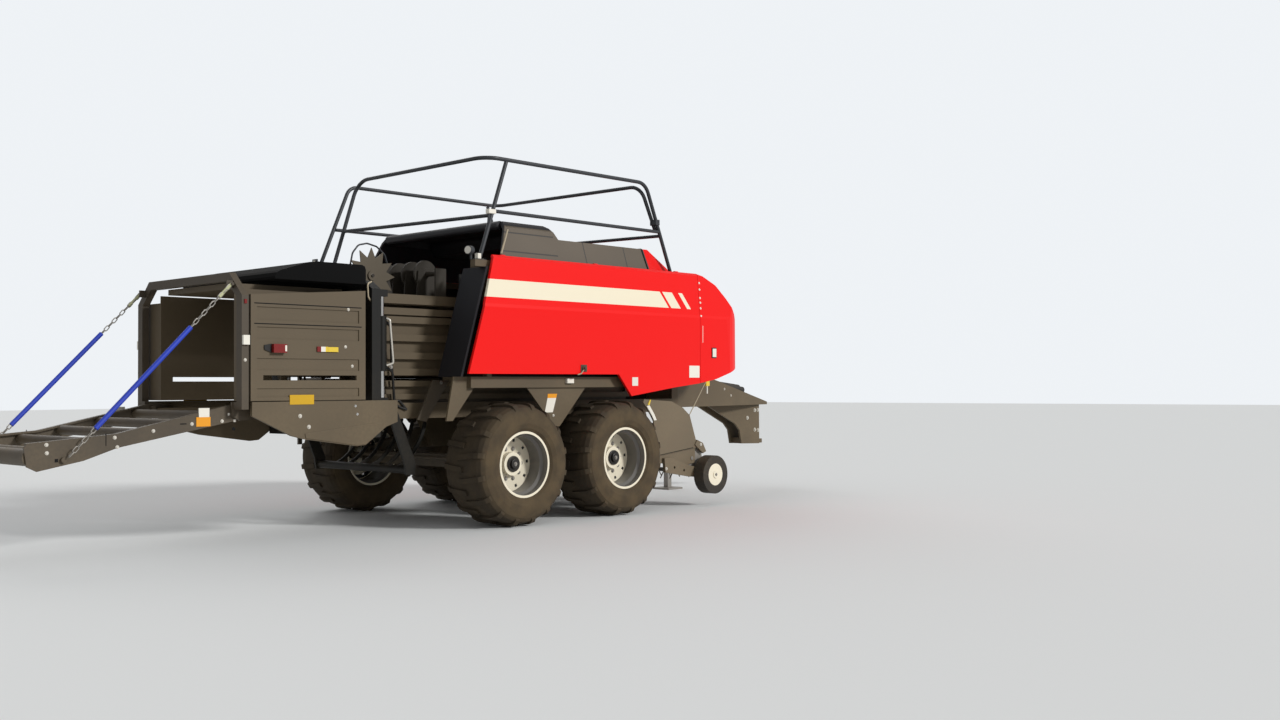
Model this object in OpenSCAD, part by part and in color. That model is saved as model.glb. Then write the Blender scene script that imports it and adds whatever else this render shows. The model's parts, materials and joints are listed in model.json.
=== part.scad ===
// Large square baler on a tandem axle, drawn at full size in millimetres.
// +X points to the towing vehicle, +Y to the machine's left side, +Z up.
// All places are measured from the middle of the tandem on the ground;
// the last step moves the whole machine so that its box is centred on the origin.

/* [Wheels and axles] */
// Distance between the front and rear axle of the tandem
axle_gap = 1310; // [1280:10:1400]
// Diameter over the lugs of a main tyre
tyre_d = 1120; // [1080:5:1130]
// Width of a main tyre
tyre_w = 550; // [500:5:560]
// Height of a tread lug
lug_h = 20; // [14:1:26]
// Diameter over the rim flange
rim_d = 597; // [580:1:600]
// Distance from the middle of the machine to the middle of a main tyre
wheel_y = 1155; // [1150:5:1200]
// Distance from the middle of the machine to a kingpin
kingpin_y = 980; // [970:1:985]
// Diameter of a pickup gauge wheel
gauge_d = 400; // [360:5:420]

/* [Bale chamber] */
// Inside width of the bale chamber
chamber_w = 1200; // [1180:5:1205]
// Inside height of the bale chamber
chamber_h = 900; // [850:5:910]
// Height of the chamber floor above the ground
floor_z = 1150; // [1140:5:1170]
// Depth of a chamber side wall with its ribs
wall_depth = 60; // [50:1:65]
// Rear end of the fixed chamber walls, behind the tandem middle
wall_back = 1900; // [1900:5:1920]
// Front end of the chamber, ahead of the tandem middle
wall_front = 1500; // [1450:5:1520]
// Length of a density door
door_len = 1080; // [1000:5:1100]

/* [Body panels] */
// Half width over the red side shields
body_half_w = 1250; // [1245:5:1280]
// Thickness of a shield shell
shield_t = 28; // [20:1:32]
// Height of the top edge of the shields
shield_top_z = 2450; // [2440:5:2470]
// Height of the straight lower edge of the shields
shield_low_z = 1375; // [1370:5:1400]
// Height of the raised rear part of the roof cover
roof_top_z = 2810; // [2780:5:2840]

/* [Handrail] */
// Height of the top rail
rail_z = 3345; // [3250:5:3400]
// Height of the middle rail
mid_rail_z = 2860; // [2830:5:2900]
// Diameter of a handrail tube
rail_d = 38; // [30:1:42]

/* [Drawbar] */
// Distance from the tandem middle to the hitch eye
hitch_x = 4560; // [4520:10:4600]
// Height of the hitch eye
hitch_z = 560; // [540:5:600]
// Diameter of the pin that the hitch eye takes
hitch_pin_d = 50; // [40:1:55]

/* [Pickup] */
// Half width of the pickup over its end shields
pickup_half_w = 1240; // [1235:1:1245]
// Radius over the pickup tine tips
tine_r = 265; // [240:5:275]

/* [Chute] */
// Length of the bale chute from its pivot to the end roller
chute_len = 1600; // [1400:10:1650]
// Angle at which the chute slopes down to the rear
chute_slope = 8; // [6:0.5:10]

/* [Hidden] */

hub_z = tyre_d / 2;
half_gap = axle_gap / 2;
half_in = chamber_w / 2;
half_out = half_in + wall_depth;
ceil_z = floor_z + chamber_h;
// Room for parts that move past each other, for parts that rest on each other, and a weld's overlap
run = 5;
seat = 0.3;
weld = 1;
steel_grey = [0.24, 0.23, 0.21];
dark_grey = [0.13, 0.13, 0.13];
red = [0.86, 0.04, 0.03];
rubber = [0.09, 0.09, 0.08];
cream = [0.86, 0.82, 0.68];
metal = [0.62, 0.62, 0.60];

// A box from one corner to the other
module block(lo, hi) translate(lo) cube(hi - lo);
// A flat plate drawn in X and Z, from y to y + t
module side_plate(points, y, t) translate([0, y + t, 0]) rotate([90, 0, 0]) linear_extrude(t) polygon(points);
// An outline drawn in Y and Z, from x to x + len
module end_form(points, x, len) translate([x, 0, 0]) rotate([90, 0, 90]) linear_extrude(len) polygon(points);
// The same piece on the left and on the right
module both() {
  children();
  mirror([0, 1, 0]) children();
}
// The left piece as drawn, or its mirror on the right
module on(left) {
  if (left) children();
  else mirror([0, 1, 0]) children();
}
// Round bars along Y, Z and X
module bar_y(r, x, z, y0, y1) translate([x, y0, z]) rotate([-90, 0, 0]) cylinder(r = r, h = y1 - y0, $fn = 48);
module bar_z(r, x, y, z0, z1) translate([x, y, z0]) cylinder(r = r, h = z1 - z0, $fn = 48);
module bar_x(r, y, z, x0, x1) translate([x0, y, z]) rotate([0, 90, 0]) cylinder(r = r, h = x1 - x0, $fn = 48);

function unit(v) = v / norm(v);
function arc(cx, cz, r, a0, a1, n) =
  [for (i = [0:n]) let (a = a0 + (a1 - a0) * i / n) [cx + r * cos(a), cz + r * sin(a)]];

// A straight round bar between two points
module rod(a, b, r) {
  d = b - a;
  translate(a)
    rotate([0, acos(d[2] / norm(d)), atan2(d[1], d[0])])
      cylinder(r = r, h = norm(d), $fn = 32);
}

// A straight round bar that stops short of its end points
module cut_rod(a, b, r, cut_a, cut_b) {
  u = unit(b - a);
  rod(a + u * cut_a, b - u * cut_b, r);
}

// A round tube that follows points, turns each corner on a bend radius and has a collar at each end of a bend
module bent_tube(p, r, bend) {
  n = len(p);
  cut = [for (i = [0:n - 1])
    i == 0 || i == n - 1 ? 0 :
      let (a = unit(p[i] - p[i - 1]), b = unit(p[i + 1] - p[i])) bend * tan(acos(a * b) / 2)];
  for (i = [0:n - 2]) cut_rod(p[i], p[i + 1], r, cut[i], cut[i + 1]);
  for (i = [1:n - 2]) {
    a = unit(p[i] - p[i - 1]);
    b = unit(p[i + 1] - p[i]);
    inward = unit(b - a * (a * b));
    centre = p[i] - a * cut[i] + inward * bend;
    up = cross(-inward, a);
    multmatrix([
      [-inward[0], a[0], up[0], centre[0]],
      [-inward[1], a[1], up[1], centre[1]],
      [-inward[2], a[2], up[2], centre[2]],
      [0, 0, 0, 1]
    ])
      rotate_extrude(angle = acos(a * b), $fn = 32) translate([bend, 0]) circle(r = r, $fn = 32);
    rod(p[i] - a * (cut[i] + 8), p[i] - a * (cut[i] - 8), r + 2);
    rod(p[i] + b * (cut[i] - 8), p[i] + b * (cut[i] + 8), r + 2);
  }
}

// Main frame: two long beams under the chamber, cross members, tandem hangers and a front plate
beam_w = 90;
beam_h = 140;
floor_t = 30;
beam_z1 = floor_z - floor_t;
beam_z0 = beam_z1 - beam_h;
beam_y0 = half_in;
beam_y1 = half_in + beam_w;
frame_back = -1650;
frame_front = 2250;
cross_w = 100;
front_plate_top = 1490;
pivot_z = 740;
pivot_r = 45;
bogie_y0 = beam_y1 + run;
bogie_t = 60;
bogie_y1 = bogie_y0 + bogie_t;
drive_z = 1380;
input_r = 40;
gearbox_x0 = 1700;
pickup_px = 1450;
pickup_pz = 760;
pickup_arm_y = half_in + 60;

module main_frame() color(steel_grey) difference() {
  union() {
    both() {
      block([frame_back, beam_y0, beam_z0], [frame_front, beam_y1, beam_z1]);
      side_plate([[-300, beam_z0 + weld], [300, beam_z0 + weld], [110, pivot_z - 90], [-110, pivot_z - 90]],
        beam_y0, beam_w);
      bar_y(pivot_r, 0, pivot_z, beam_y1 - weld, bogie_y1 + 18);
      side_plate([[pickup_px - 90, beam_z0 + weld], [pickup_px + 90, beam_z0 + weld],
          [pickup_px + 40, pickup_pz - 60], [pickup_px - 40, pickup_pz - 60]], beam_y0, 30);
      bar_y(20, pickup_px, pickup_pz, beam_y0 + 29, pickup_arm_y + 30);
    }
    for (x = [frame_back, -200, gearbox_x0 + 60, frame_front - cross_w])
      block([x, -beam_y0 - weld, beam_z0], [x + cross_w, beam_y0 + weld, beam_z1]);
    block([frame_front - cross_w, -beam_y1, beam_z1 - weld], [frame_front, beam_y1, front_plate_top]);
  }
  bar_x(input_r + run, 0, drive_z, frame_front - cross_w - 1, frame_front + 1);
}

// Tandem: each bogie beam sits on both axles and hangs on the frame's pivot pin
axle_s = 120;
spindle_r = 40;
spindle_end = wheel_y + 45;
axle_top = hub_z + axle_s / 2;
module bogie_beams() color(dark_grey) both() difference() {
  side_plate([[-half_gap - 85, axle_top], [-half_gap - 85, axle_top + 80], [-220, pivot_z + 110],
      [220, pivot_z + 110], [half_gap + 85, axle_top + 80], [half_gap + 85, axle_top],
      [200, axle_top + 20], [-200, axle_top + 20]], bogie_y0, bogie_t);
  bar_y(pivot_r + seat, 0, pivot_z, bogie_y0 - 1, bogie_y1 + 1);
}

hub_in = -110;
axle_end = wheel_y + hub_in - 30;
module axle_front() color(dark_grey) {
  block([half_gap - axle_s / 2, -axle_end, hub_z - axle_s / 2], [half_gap + axle_s / 2, axle_end, axle_top]);
  both() bar_y(spindle_r, half_gap, hub_z, axle_end - weld, spindle_end);
}

// Rear axle: a fist at each end holds the kingpin of a steering knuckle between two ears
ear_t = 35;
ear_z = 70;
kingpin_r = 25;
fist_y = kingpin_y - 65;
module axle_rear() color(dark_grey) {
  block([-half_gap - axle_s / 2, -fist_y, hub_z - axle_s / 2], [-half_gap + axle_s / 2, fist_y, axle_top]);
  both() difference() {
    union() {
      block([-half_gap - 55, fist_y - 40, hub_z - ear_z - ear_t],
        [-half_gap + 55, fist_y, hub_z + ear_z + ear_t]);
      for (s = [-1, 1])
        block([-half_gap - 50, fist_y - weld, hub_z + s * (ear_z + ear_t / 2) - ear_t / 2],
          [-half_gap + 50, kingpin_y + 37, hub_z + s * (ear_z + ear_t / 2) + ear_t / 2]);
    }
    bar_z(kingpin_r + seat, -half_gap, kingpin_y, hub_z - 200, hub_z + 200);
  }
}

arm_len = 195;
arm_tip_x = -half_gap - arm_len;
tie_pin_r = 12;
tie_eye_r = 28;
knuckle_out = wheel_y + hub_in - run - 8;
module knuckle() color(dark_grey) {
  block([-half_gap - 45, kingpin_y - 45, hub_z - ear_z + run],
    [-half_gap + 45, knuckle_out, hub_z + ear_z - run]);
  bar_z(kingpin_r, -half_gap, kingpin_y, hub_z - ear_z - ear_t - 12, hub_z + ear_z + ear_t + 12);
  bar_y(spindle_r, -half_gap, hub_z, knuckle_out - weld, spindle_end);
  translate([0, 0, hub_z - 15]) linear_extrude(30)
    polygon([[-half_gap - 44, kingpin_y + 35], [-half_gap - 44, kingpin_y - 40],
        [arm_tip_x - 22, kingpin_y - 22], [arm_tip_x - 22, kingpin_y + 22]]);
  bar_z(tie_pin_r, arm_tip_x, kingpin_y, hub_z + 14, hub_z + 62);
}

tie_z = hub_z + 34;
module tie_rod() color(metal) difference() {
  union() {
    bar_y(15, arm_tip_x, tie_z, -kingpin_y + tie_eye_r - weld, kingpin_y - tie_eye_r + weld);
    both() bar_z(tie_eye_r, arm_tip_x, kingpin_y, tie_z - 16, tie_z + 16);
  }
  both() bar_z(tie_pin_r + seat, arm_tip_x, kingpin_y, tie_z - 40, tie_z + 40);
}

// Wheels: a revolved tyre with slanted lugs and a revolved rim with a deep-set disc
rim_r = rim_d / 2;
seat_r = rim_r - 12;
well_r = rim_r - 46;
flange_out = 245;
flange_in = -235;
disc_y = 12;
hub_r = 105;
lug_n = 32;
hole_n = 10;
hole_r = 26;
hole_ring = 188;
module about_y() rotate([-90, 0, 0]) children();
// Places a wheel with its outer face away from the machine
module wheel_at(x, left)
  translate([x, left ? wheel_y : -wheel_y, hub_z]) rotate([0, 0, left ? 0 : 180]) children();

module tyre() color(rubber) about_y() {
  half = tyre_w / 2;
  tread = tyre_d / 2 - lug_h;
  rotate_extrude($fn = 96)
    polygon([[rim_r + 1, 34 - half], [rim_r + 26, 12 - half], [rim_r + 70, -half], [rim_r + 120, 2 - half],
        [tread - 62, 14 - half], [tread - 28, 38 - half], [tread - 9, 78 - half], [tread, 140 - half],
        [tread, half - 140], [tread - 9, half - 78], [tread - 28, half - 38], [tread - 62, half - 14],
        [rim_r + 120, half - 2], [rim_r + 70, half], [rim_r + 26, half - 12], [rim_r + 1, half - 34],
        [rim_r + 1, flange_out - 13],
        [seat_r + 0.5, flange_out - 15], [seat_r + 0.5, flange_in + 15], [rim_r + 1, flange_in + 13]]);
  for (i = [0:lug_n - 1]) rotate([0, 0, i * 360 / lug_n])
    intersection() {
      rotate([90, 0, 90]) linear_extrude(tyre_d / 2)
        polygon(i % 2 == 0 ? [[-24, 16 - half], [24, 16 - half], [54, 30], [6, 30]]
          : [[6, -30], [54, -30], [24, half - 16], [-24, half - 16]]);
      rotate_extrude(angle = 360, $fn = 96)
        polygon([[tread - 70, 18 - half], [tread - 34, 22 - half], [tread + 2, 50 - half],
            [tyre_d / 2 - 4, 92 - half], [tyre_d / 2, 140 - half], [tyre_d / 2, half - 140],
            [tyre_d / 2 - 4, half - 92], [tread + 2, half - 50], [tread - 34, half - 22],
            [tread - 70, half - 18]]);
    }
}

module rim() color(cream) difference() {
  about_y() {
    rotate_extrude($fn = 72)
      polygon([[rim_r, flange_out], [rim_r, flange_out - 12], [seat_r, flange_out - 14],
          [seat_r, flange_out - 60],
          [well_r + 8, flange_out - 80], [well_r + 8, flange_in + 60], [seat_r, flange_in + 40],
          [seat_r, flange_in + 14], [rim_r, flange_in + 12], [rim_r, flange_in], [seat_r - 10, flange_in],
          [seat_r - 10, flange_in + 36], [well_r, flange_in + 58], [well_r, flange_out - 82],
          [seat_r - 10, flange_out - 62], [seat_r - 10, flange_out]]);
    translate([0, 0, disc_y]) cylinder(r = well_r + 1, h = 14, $fn = 72);
    translate([0, 0, hub_in]) cylinder(r = hub_r, h = disc_y + 70 - hub_in, $fn = 48);
  }
  about_y() translate([0, 0, hub_in - 1])
    cylinder(r = spindle_r + seat, h = spindle_end - wheel_y - hub_in + 4, $fn = 48);
  about_y() for (i = [0:hole_n - 1]) rotate([0, 0, i * 360 / hole_n])
    translate([hole_ring, 0, disc_y - 1]) cylinder(r = hole_r, h = 16, $fn = 24);
}

// Bale chamber: ribbed side walls with two slots, a slotted floor and a slotted top
skin_t = 12;
slot_z = floor_z + 170;
slot_h = 40;
high_slot_z = ceil_z - 78;
high_slot_h = 26;
// Height above the floor and depth of each rib
ribs = [[0, 50], [115, 50], [215, 60], [360, 60], [520, 60], [680, 60], [755, 60], [chamber_h - 45, 45]];
needle_gap = 190;
needle_n = 6;
needle_slot_x = [-1180, -780];
function needle_y(i) = (i - (needle_n - 1) / 2) * needle_gap;

module chamber_wall() color(steel_grey) {
  difference() {
    block([-wall_back, half_in, floor_z], [wall_front, half_in + skin_t, ceil_z]);
    block([-wall_back + 60, half_in - 1, slot_z], [wall_front - 60, half_in + skin_t + 1, slot_z + slot_h]);
    block([-wall_back + 60, half_in - 1, high_slot_z],
      [wall_front - 60, half_in + skin_t + 1, high_slot_z + high_slot_h]);
  }
  for (r = ribs)
    block([-wall_back, half_in + skin_t - weld, floor_z + r[0]],
      [wall_front, half_out, floor_z + r[0] + r[1]]);
  for (x = [-wall_back, -700, 300, wall_front - 60])
    block([x, half_in + skin_t - weld, floor_z], [x + 60, half_out - 2, ceil_z]);
}

module chamber_floor() color(steel_grey) difference() {
  block([-wall_back, -half_in - skin_t, beam_z1], [wall_front, half_in + skin_t, floor_z]);
  for (i = [0:needle_n - 1])
    block([needle_slot_x[0], needle_y(i) - 22, beam_z1 - 1],
      [needle_slot_x[1], needle_y(i) + 22, floor_z + 1]);
  block([730, -half_in + 10, beam_z1 - 1], [1030, half_in - 10, floor_z + 1]);
}

top_t = 40;
top_z = ceil_z + top_t;
star_x = -1520;
star_y = -290;
star_slot = 200;
module chamber_top() color(steel_grey) difference() {
  block([-wall_back, -half_out, ceil_z], [wall_front, half_out, top_z]);
  for (i = [0:needle_n - 1])
    block([needle_slot_x[0] - 40, needle_y(i) - 30, ceil_z - 1],
      [needle_slot_x[1] + 40, needle_y(i) + 30, top_z + 1]);
  block([star_x - star_slot, star_y - 30, ceil_z - 1], [star_x + star_slot, star_y + 30, top_z + 1]);
}

// Density doors: the side doors swing in about upright pins, the top door swings down
door_gap = 90;
door_front = wall_back + door_gap;
door_back = door_front + door_len;
door_in = half_in + 10;
door_out = 867;
door_skin = 22;
door_low = floor_z + 6;
door_high = ceil_z + 10;
hinge_pin_r = 16;
door_pin_x = -wall_back - 45;
door_pin_y = half_out - 15;
door_pin_z = [floor_z + 60, ceil_z - 240];
// Height above the floor and height of each pocket pressed into a door's outer skin
pockets = [[35, 70], [250, 95], [500, 95], [650, 105]];
module door_side() color(steel_grey) {
  difference() {
    union() {
      block([-door_back, door_in, door_low], [-door_front, door_in + skin_t, door_high]);
      side_plate([[-door_back, door_low], [-door_back, door_high - 60], [-door_front, door_high + 20],
          [-door_front, door_low]], door_out - door_skin, door_skin);
      for (z = [2, 110, 230, 400, 580, 760])
        block([-door_back, door_in + skin_t - weld, door_low + z],
          [-door_front, door_out - door_skin + weld, door_low + z + 14]);
      for (x = [-door_back, -door_front - 14])
        block([x, door_in + skin_t - weld, door_low], [x + 14, door_out - door_skin + weld, door_high - 62]);
    }
    block([-door_back + 110, door_in - 1, slot_z], [-door_front - 90, door_out + 1, slot_z + slot_h]);
    for (p = pockets)
      block([-door_back + 55, door_out - 9, floor_z + p[0]],
        [-door_front - 65, door_out + 1, floor_z + p[0] + p[1]]);
  }
  for (z = door_pin_z) difference() {
    union() {
      block([-door_front - 13, door_pin_y - 20, z - 45], [door_pin_x, door_pin_y + 20, z - 15]);
      bar_z(hinge_pin_r + 14, door_pin_x, door_pin_y, z - 45, z - 15);
    }
    bar_z(hinge_pin_r + seat, door_pin_x, door_pin_y, z - 46, z - 14);
  }
}

// The pins and ears on the chamber that carry the side doors
module door_pins() for (z = door_pin_z) {
  bar_z(hinge_pin_r, door_pin_x, door_pin_y, z - 50, z + 10);
  block([door_pin_x - 20, door_pin_y - 20, z - 10], [-wall_back + weld, door_pin_y + 13, z + 10]);
}

// A chamber side with its door pins
module chamber_side(left) on(left) {
  chamber_wall();
  color(steel_grey) door_pins();
}

top_door_half = 520;
top_door_z0 = ceil_z + 12;
top_door_z1 = ceil_z + 60;
top_pin_x = -wall_back - 45;
top_pin_z = ceil_z + 30;
top_pin_y = [-400, 0, 400];
module door_top() color(steel_grey) {
  block([-door_back + 20, -top_door_half, top_door_z0], [-door_front, top_door_half, top_door_z1]);
  for (y = top_pin_y) difference() {
    union() {
      block([-door_front - 1, y - 15, top_pin_z - 15], [top_pin_x, y + 15, top_pin_z + 15]);
      bar_y(hinge_pin_r + 14, top_pin_x, top_pin_z, y - 15, y + 15);
    }
    bar_y(hinge_pin_r + seat, top_pin_x, top_pin_z, y - 16, y + 16);
  }
}

module top_door_pins() for (y = top_pin_y) {
  bar_y(hinge_pin_r, top_pin_x, top_pin_z, y - 45, y + 45);
  for (s = [-1, 1])
    block([top_pin_x - 18, y + s * 35 - 12, ceil_z + 1], [-wall_back + weld, y + s * 35 + 12, top_z]);
}

// The chamber top with the pins of the top door
module chamber_roof() {
  chamber_top();
  color(steel_grey) top_door_pins();
}

cover_x = [-door_front - 800, -door_front + 80];
cover_half = half_out + 100;
cover_low = ceil_z + 95;
module door_top_cover() color(dark_grey) {
  side_plate([[cover_x[0], cover_low], [cover_x[0], ceil_z + 115], [cover_x[0] + 16, ceil_z + 148],
      [cover_x[0] + 60, ceil_z + 172], [cover_x[0] + 320, ceil_z + 252], [cover_x[0] + 390, ceil_z + 262],
      [cover_x[1] - 40, ceil_z + 262], [cover_x[1] - 10, ceil_z + 250], [cover_x[1], ceil_z + 220],
      [cover_x[1], cover_low]], -cover_half, 2 * cover_half);
  block([cover_x[0] + 20, -top_door_half + 40, top_door_z1 + seat],
    [-door_front - 30, top_door_half - 40, cover_low + weld]);
}

lamp_z = 1575;
module lamp() {
  color("darkred") block([-2890, door_out + seat, lamp_z - 35], [-2770, door_out + 42, lamp_z + 35]);
  color("orange") block([-2370, door_out + seat, lamp_z - 20], [-2270, door_out + 14, lamp_z + 20]);
}

// Lower skirt: the deep plate under the density doors on each side, carried by a long beam
skirt_y0 = 840;
skirt_y1 = 870;
skirt_top = door_low - 8;
skirt_back = -door_back + 10;
skirt_rib_x = [skirt_back + 160, skirt_back + 760, -1760];
skirt_arm_z = [floor_z - 140, floor_z - 60];
module lower_skirts() color(steel_grey) both() {
  side_plate([[skirt_back, skirt_top], [skirt_back, skirt_top - 110], [-2700, 868], [-2580, 838], [-2080, 765],
      [-1990, 772], [-1780, 920], [-1660, 960], [-1660, skirt_top]], skirt_y0, skirt_y1 - skirt_y0);
  block([skirt_back, half_in + 14, skirt_arm_z[0]], [frame_back - seat, beam_y1, skirt_arm_z[1]]);
  for (x = skirt_rib_x)
    block([x, beam_y1 - weld, skirt_arm_z[0]], [x + 60, skirt_y0 + weld, skirt_arm_z[1]]);
}

// Tension yoke: a ring of columns and beams round the chamber just ahead of the doors
yoke_x = [-1890, -1800];
yoke_in = half_out + run;
yoke_out = half_out + 160;
yoke_top = ceil_z + 60;
module tension_yoke() color(dark_grey) {
  both() block([yoke_x[0], yoke_in, 1100], [yoke_x[1], yoke_out, yoke_top]);
  both() block([yoke_x[0], yoke_out - 30, 830], [yoke_x[1], yoke_out, 1101]);
  both() for (z = [floor_z + 225, floor_z + 690])
    block([yoke_x[0], half_out, z], [yoke_x[1], yoke_in + weld, z + 40]);
  end_form([[-yoke_out, yoke_top - weld], [-yoke_out, yoke_top], [120 - yoke_out, yoke_top + 75],
      [yoke_out - 120, yoke_top + 75], [yoke_out, yoke_top], [yoke_out, yoke_top - weld]],
    yoke_x[0], yoke_x[1] - yoke_x[0]);
  block([yoke_x[0], -yoke_out, 830], [yoke_x[1], yoke_out, 900]);
}

cyl_x = -1740;
cyl_y = half_out + 85;
module density_cylinders() color(dark_grey) both() {
  bar_z(46, cyl_x, cyl_y, 1400, 1880);
  bar_z(24, cyl_x, cyl_y, 1879, yoke_top - 10);
  bar_z(28, cyl_x, cyl_y, 1130, 1401);
  for (z = [yoke_top - 60, 1110])
    block([yoke_x[1] + seat, cyl_y - 40, z], [cyl_x + 40, cyl_y + 40, z + 60]);
}

// Rear portal behind the doors: two posts joined over the bale, with the chute's pivots
portal_gap = 20;
portal_t = 60;
portal_x1 = -door_back - portal_gap;
portal_x0 = portal_x1 - portal_t;
portal_y0 = 720;
portal_y1 = 870;
post_y0 = 790;
portal_top = ceil_z + 130;
chute_px = portal_x0 + 40;
chute_pz = floor_z - 60;
chute_pin_r = 18;
chain_px = portal_x0 - 30;
chain_pz = ceil_z + 30;
chain_y = portal_y0 + 45;
module rear_portal() color(dark_grey) {
  both() {
    block([portal_x0, post_y0, skirt_arm_z[1]], [portal_x1, portal_y1, ceil_z - 100]);
    end_form([[portal_y1, ceil_z - 101], [portal_y1, ceil_z - 60], [670, portal_top], [480, portal_top],
        [480, portal_top - 70], [640, portal_top - 70], [post_y0, ceil_z - 75], [post_y0, ceil_z - 101]],
      portal_x0, portal_t);
    side_plate([[portal_x0 - 10, chute_pz - 50], [portal_x1, chute_pz - 90],
        [skirt_rib_x[0] - seat, skirt_arm_z[0]], [skirt_rib_x[0] - seat, skirt_arm_z[1]],
        [portal_x1 + 20, skirt_top], [portal_x0 - 10, skirt_top]],
      portal_y0, 20);
    block([portal_x0, portal_y0, skirt_arm_z[1]], [portal_x1, portal_y1, skirt_top]);
    bar_y(chute_pin_r, chute_px, chute_pz, 655, portal_y0 + weld);
    block([chain_px - 25, 726, chain_pz - 30], [portal_x0 + weld, 740, chain_pz + 30]);
    bar_y(12, chain_px, chain_pz, 739, chain_y + 24);
  }
  block([portal_x0, -481, portal_top - 70], [portal_x1, 481, portal_top]);
}

// Bale chute: two tapered side rails on pivots, with rollers between them
chute_out = portal_y0 - run;
chute_rail_t = 16;
chute_roller_r = 38;
end_roller_r = 62;
end_roller_z = -92;
lug_back = 209;
lug_z = -146;
chute_n = 5;
bend_s = 985;
// Places a point along the chute: distance from the pivot, height over the pivot
module on_chute() translate([chute_px, 0, chute_pz]) rotate([0, -chute_slope, 0]) mirror([1, 0, 0]) children();
module chute_frame() color(dark_grey) on_chute() {
  both() difference() {
    union() {
      side_plate([[-40, -90], [-45, 20], [0, 42], [60, 40], [bend_s, -28], [chute_len + 20, 12],
          [chute_len + 45, -18], [chute_len + 45, -150], [chute_len - 20, -196], [bend_s + 260, -180],
          [bend_s, -132], [60, -90]], chute_out - chute_rail_t, chute_rail_t);
      side_plate([[60, 25], [bend_s, -43], [chute_len + 20, -3], [chute_len + 20, 12], [bend_s, -28],
          [60, 40]],
        chute_out - 55, 55);
      bar_y(20, chute_len - lug_back, lug_z, chute_out - weld, chute_out + 25);
    }
    bar_y(chute_pin_r + seat, 0, 0, chute_out - 56, chute_out + 1);
  }
  for (i = [0:chute_n - 1])
    bar_y(chute_roller_r, 150 + i * (chute_len - 300) / (chute_n - 1), -24 - i * 16,
      -chute_out + chute_rail_t - weld, chute_out - chute_rail_t + weld);
  bar_y(end_roller_r, chute_len, end_roller_z,
    -chute_out + chute_rail_t - weld, chute_out - chute_rail_t + weld);
}

// Chains that hold the chute: links, a round sleeve and links again, hung on the portal
chain_end_x = chute_px - (chute_len - lug_back) * cos(chute_slope) - lug_z * sin(chute_slope);
chain_end_z = chute_pz - (chute_len - lug_back) * sin(chute_slope) + lug_z * cos(chute_slope);
chain_len = norm([chain_end_x - chain_px, chain_end_z - chain_pz]);
chain_tilt = atan2(chain_pz - chain_end_z, chain_px - chain_end_x);
link_w = 34;
link_t = 9;
link_pitch = 46;
sleeve_from = 0.27;
sleeve_to = 0.83;
// One link: an oval ring of flat section, lying along +X from the origin
module link(flat) rotate([flat ? 90 : 0, 0, 0]) translate([0, 0, -link_t / 2]) linear_extrude(link_t)
  difference() {
    oval(link_pitch - 1 + 2 * link_t, link_w);
    oval(link_pitch - 1, link_w - 2 * link_t);
  }
// An oval of total length l and width w, drawn by two circles and a bar
module oval(l, w) {
  for (s = [-1, 1]) translate([s * (l - w) / 2, 0]) circle(d = w, $fn = 24);
  square([l - w, w], center = true);
}
module chain_run(from, to) {
  n = max(1, floor((to - from) / link_pitch));
  pitch = (to - from) / n;
  for (i = [0:n - 1]) translate([from + (i + 0.5) * pitch, 0, 0]) link(i % 2 == 0);
}
module chute_chains() color(metal) both()
  translate([chain_px, chain_y, chain_pz]) rotate([0, -chain_tilt, 0]) mirror([1, 0, 0]) {
    difference() {
      rotate([90, 0, 0]) cylinder(r = 24, h = 12, center = true, $fn = 32);
      rotate([90, 0, 0]) cylinder(r = 12 + seat, h = 14, center = true, $fn = 32);
    }
    translate([21, -6, -6]) cube([20, 12, 12]);
    chain_run(36, sleeve_from * chain_len);
    rotate([0, 90, 0]) translate([0, 0, sleeve_from * chain_len - 8])
      cylinder(r = 19, h = (sleeve_to - sleeve_from) * chain_len + 16, $fn = 32);
    chain_run(sleeve_to * chain_len, chain_len - 30);
  }

// Bale metering wheel on its arm
star_z = ceil_z + 225;
star_r = 255;
star_teeth = 12;
module star_wheel() color(metal) difference() {
  union() {
    translate([star_x, star_y + 5, star_z]) rotate([90, 0, 0]) linear_extrude(10)
      polygon([for (i = [0:2 * star_teeth - 1])
        let (a = i * 180 / star_teeth, r = i % 2 == 0 ? star_r : 165) [r * cos(a), r * sin(a)]]);
    bar_y(45, star_x, star_z, star_y - 20, star_y + 20);
  }
  bar_y(15 + seat, star_x, star_z, star_y - 21, star_y + 21);
}
module star_wheel_arm() color(dark_grey) {
  bar_y(15, star_x, star_z, star_y - 30, star_y + 61);
  side_plate([[star_x - 30, star_z - 25], [star_x - 30, star_z + 25], [star_x + 230, star_z + 20],
      [star_x + 290, top_z + seat], [star_x + 200, top_z + seat], [star_x + 190, star_z - 60]],
    star_y + 60, 20);
}

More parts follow.
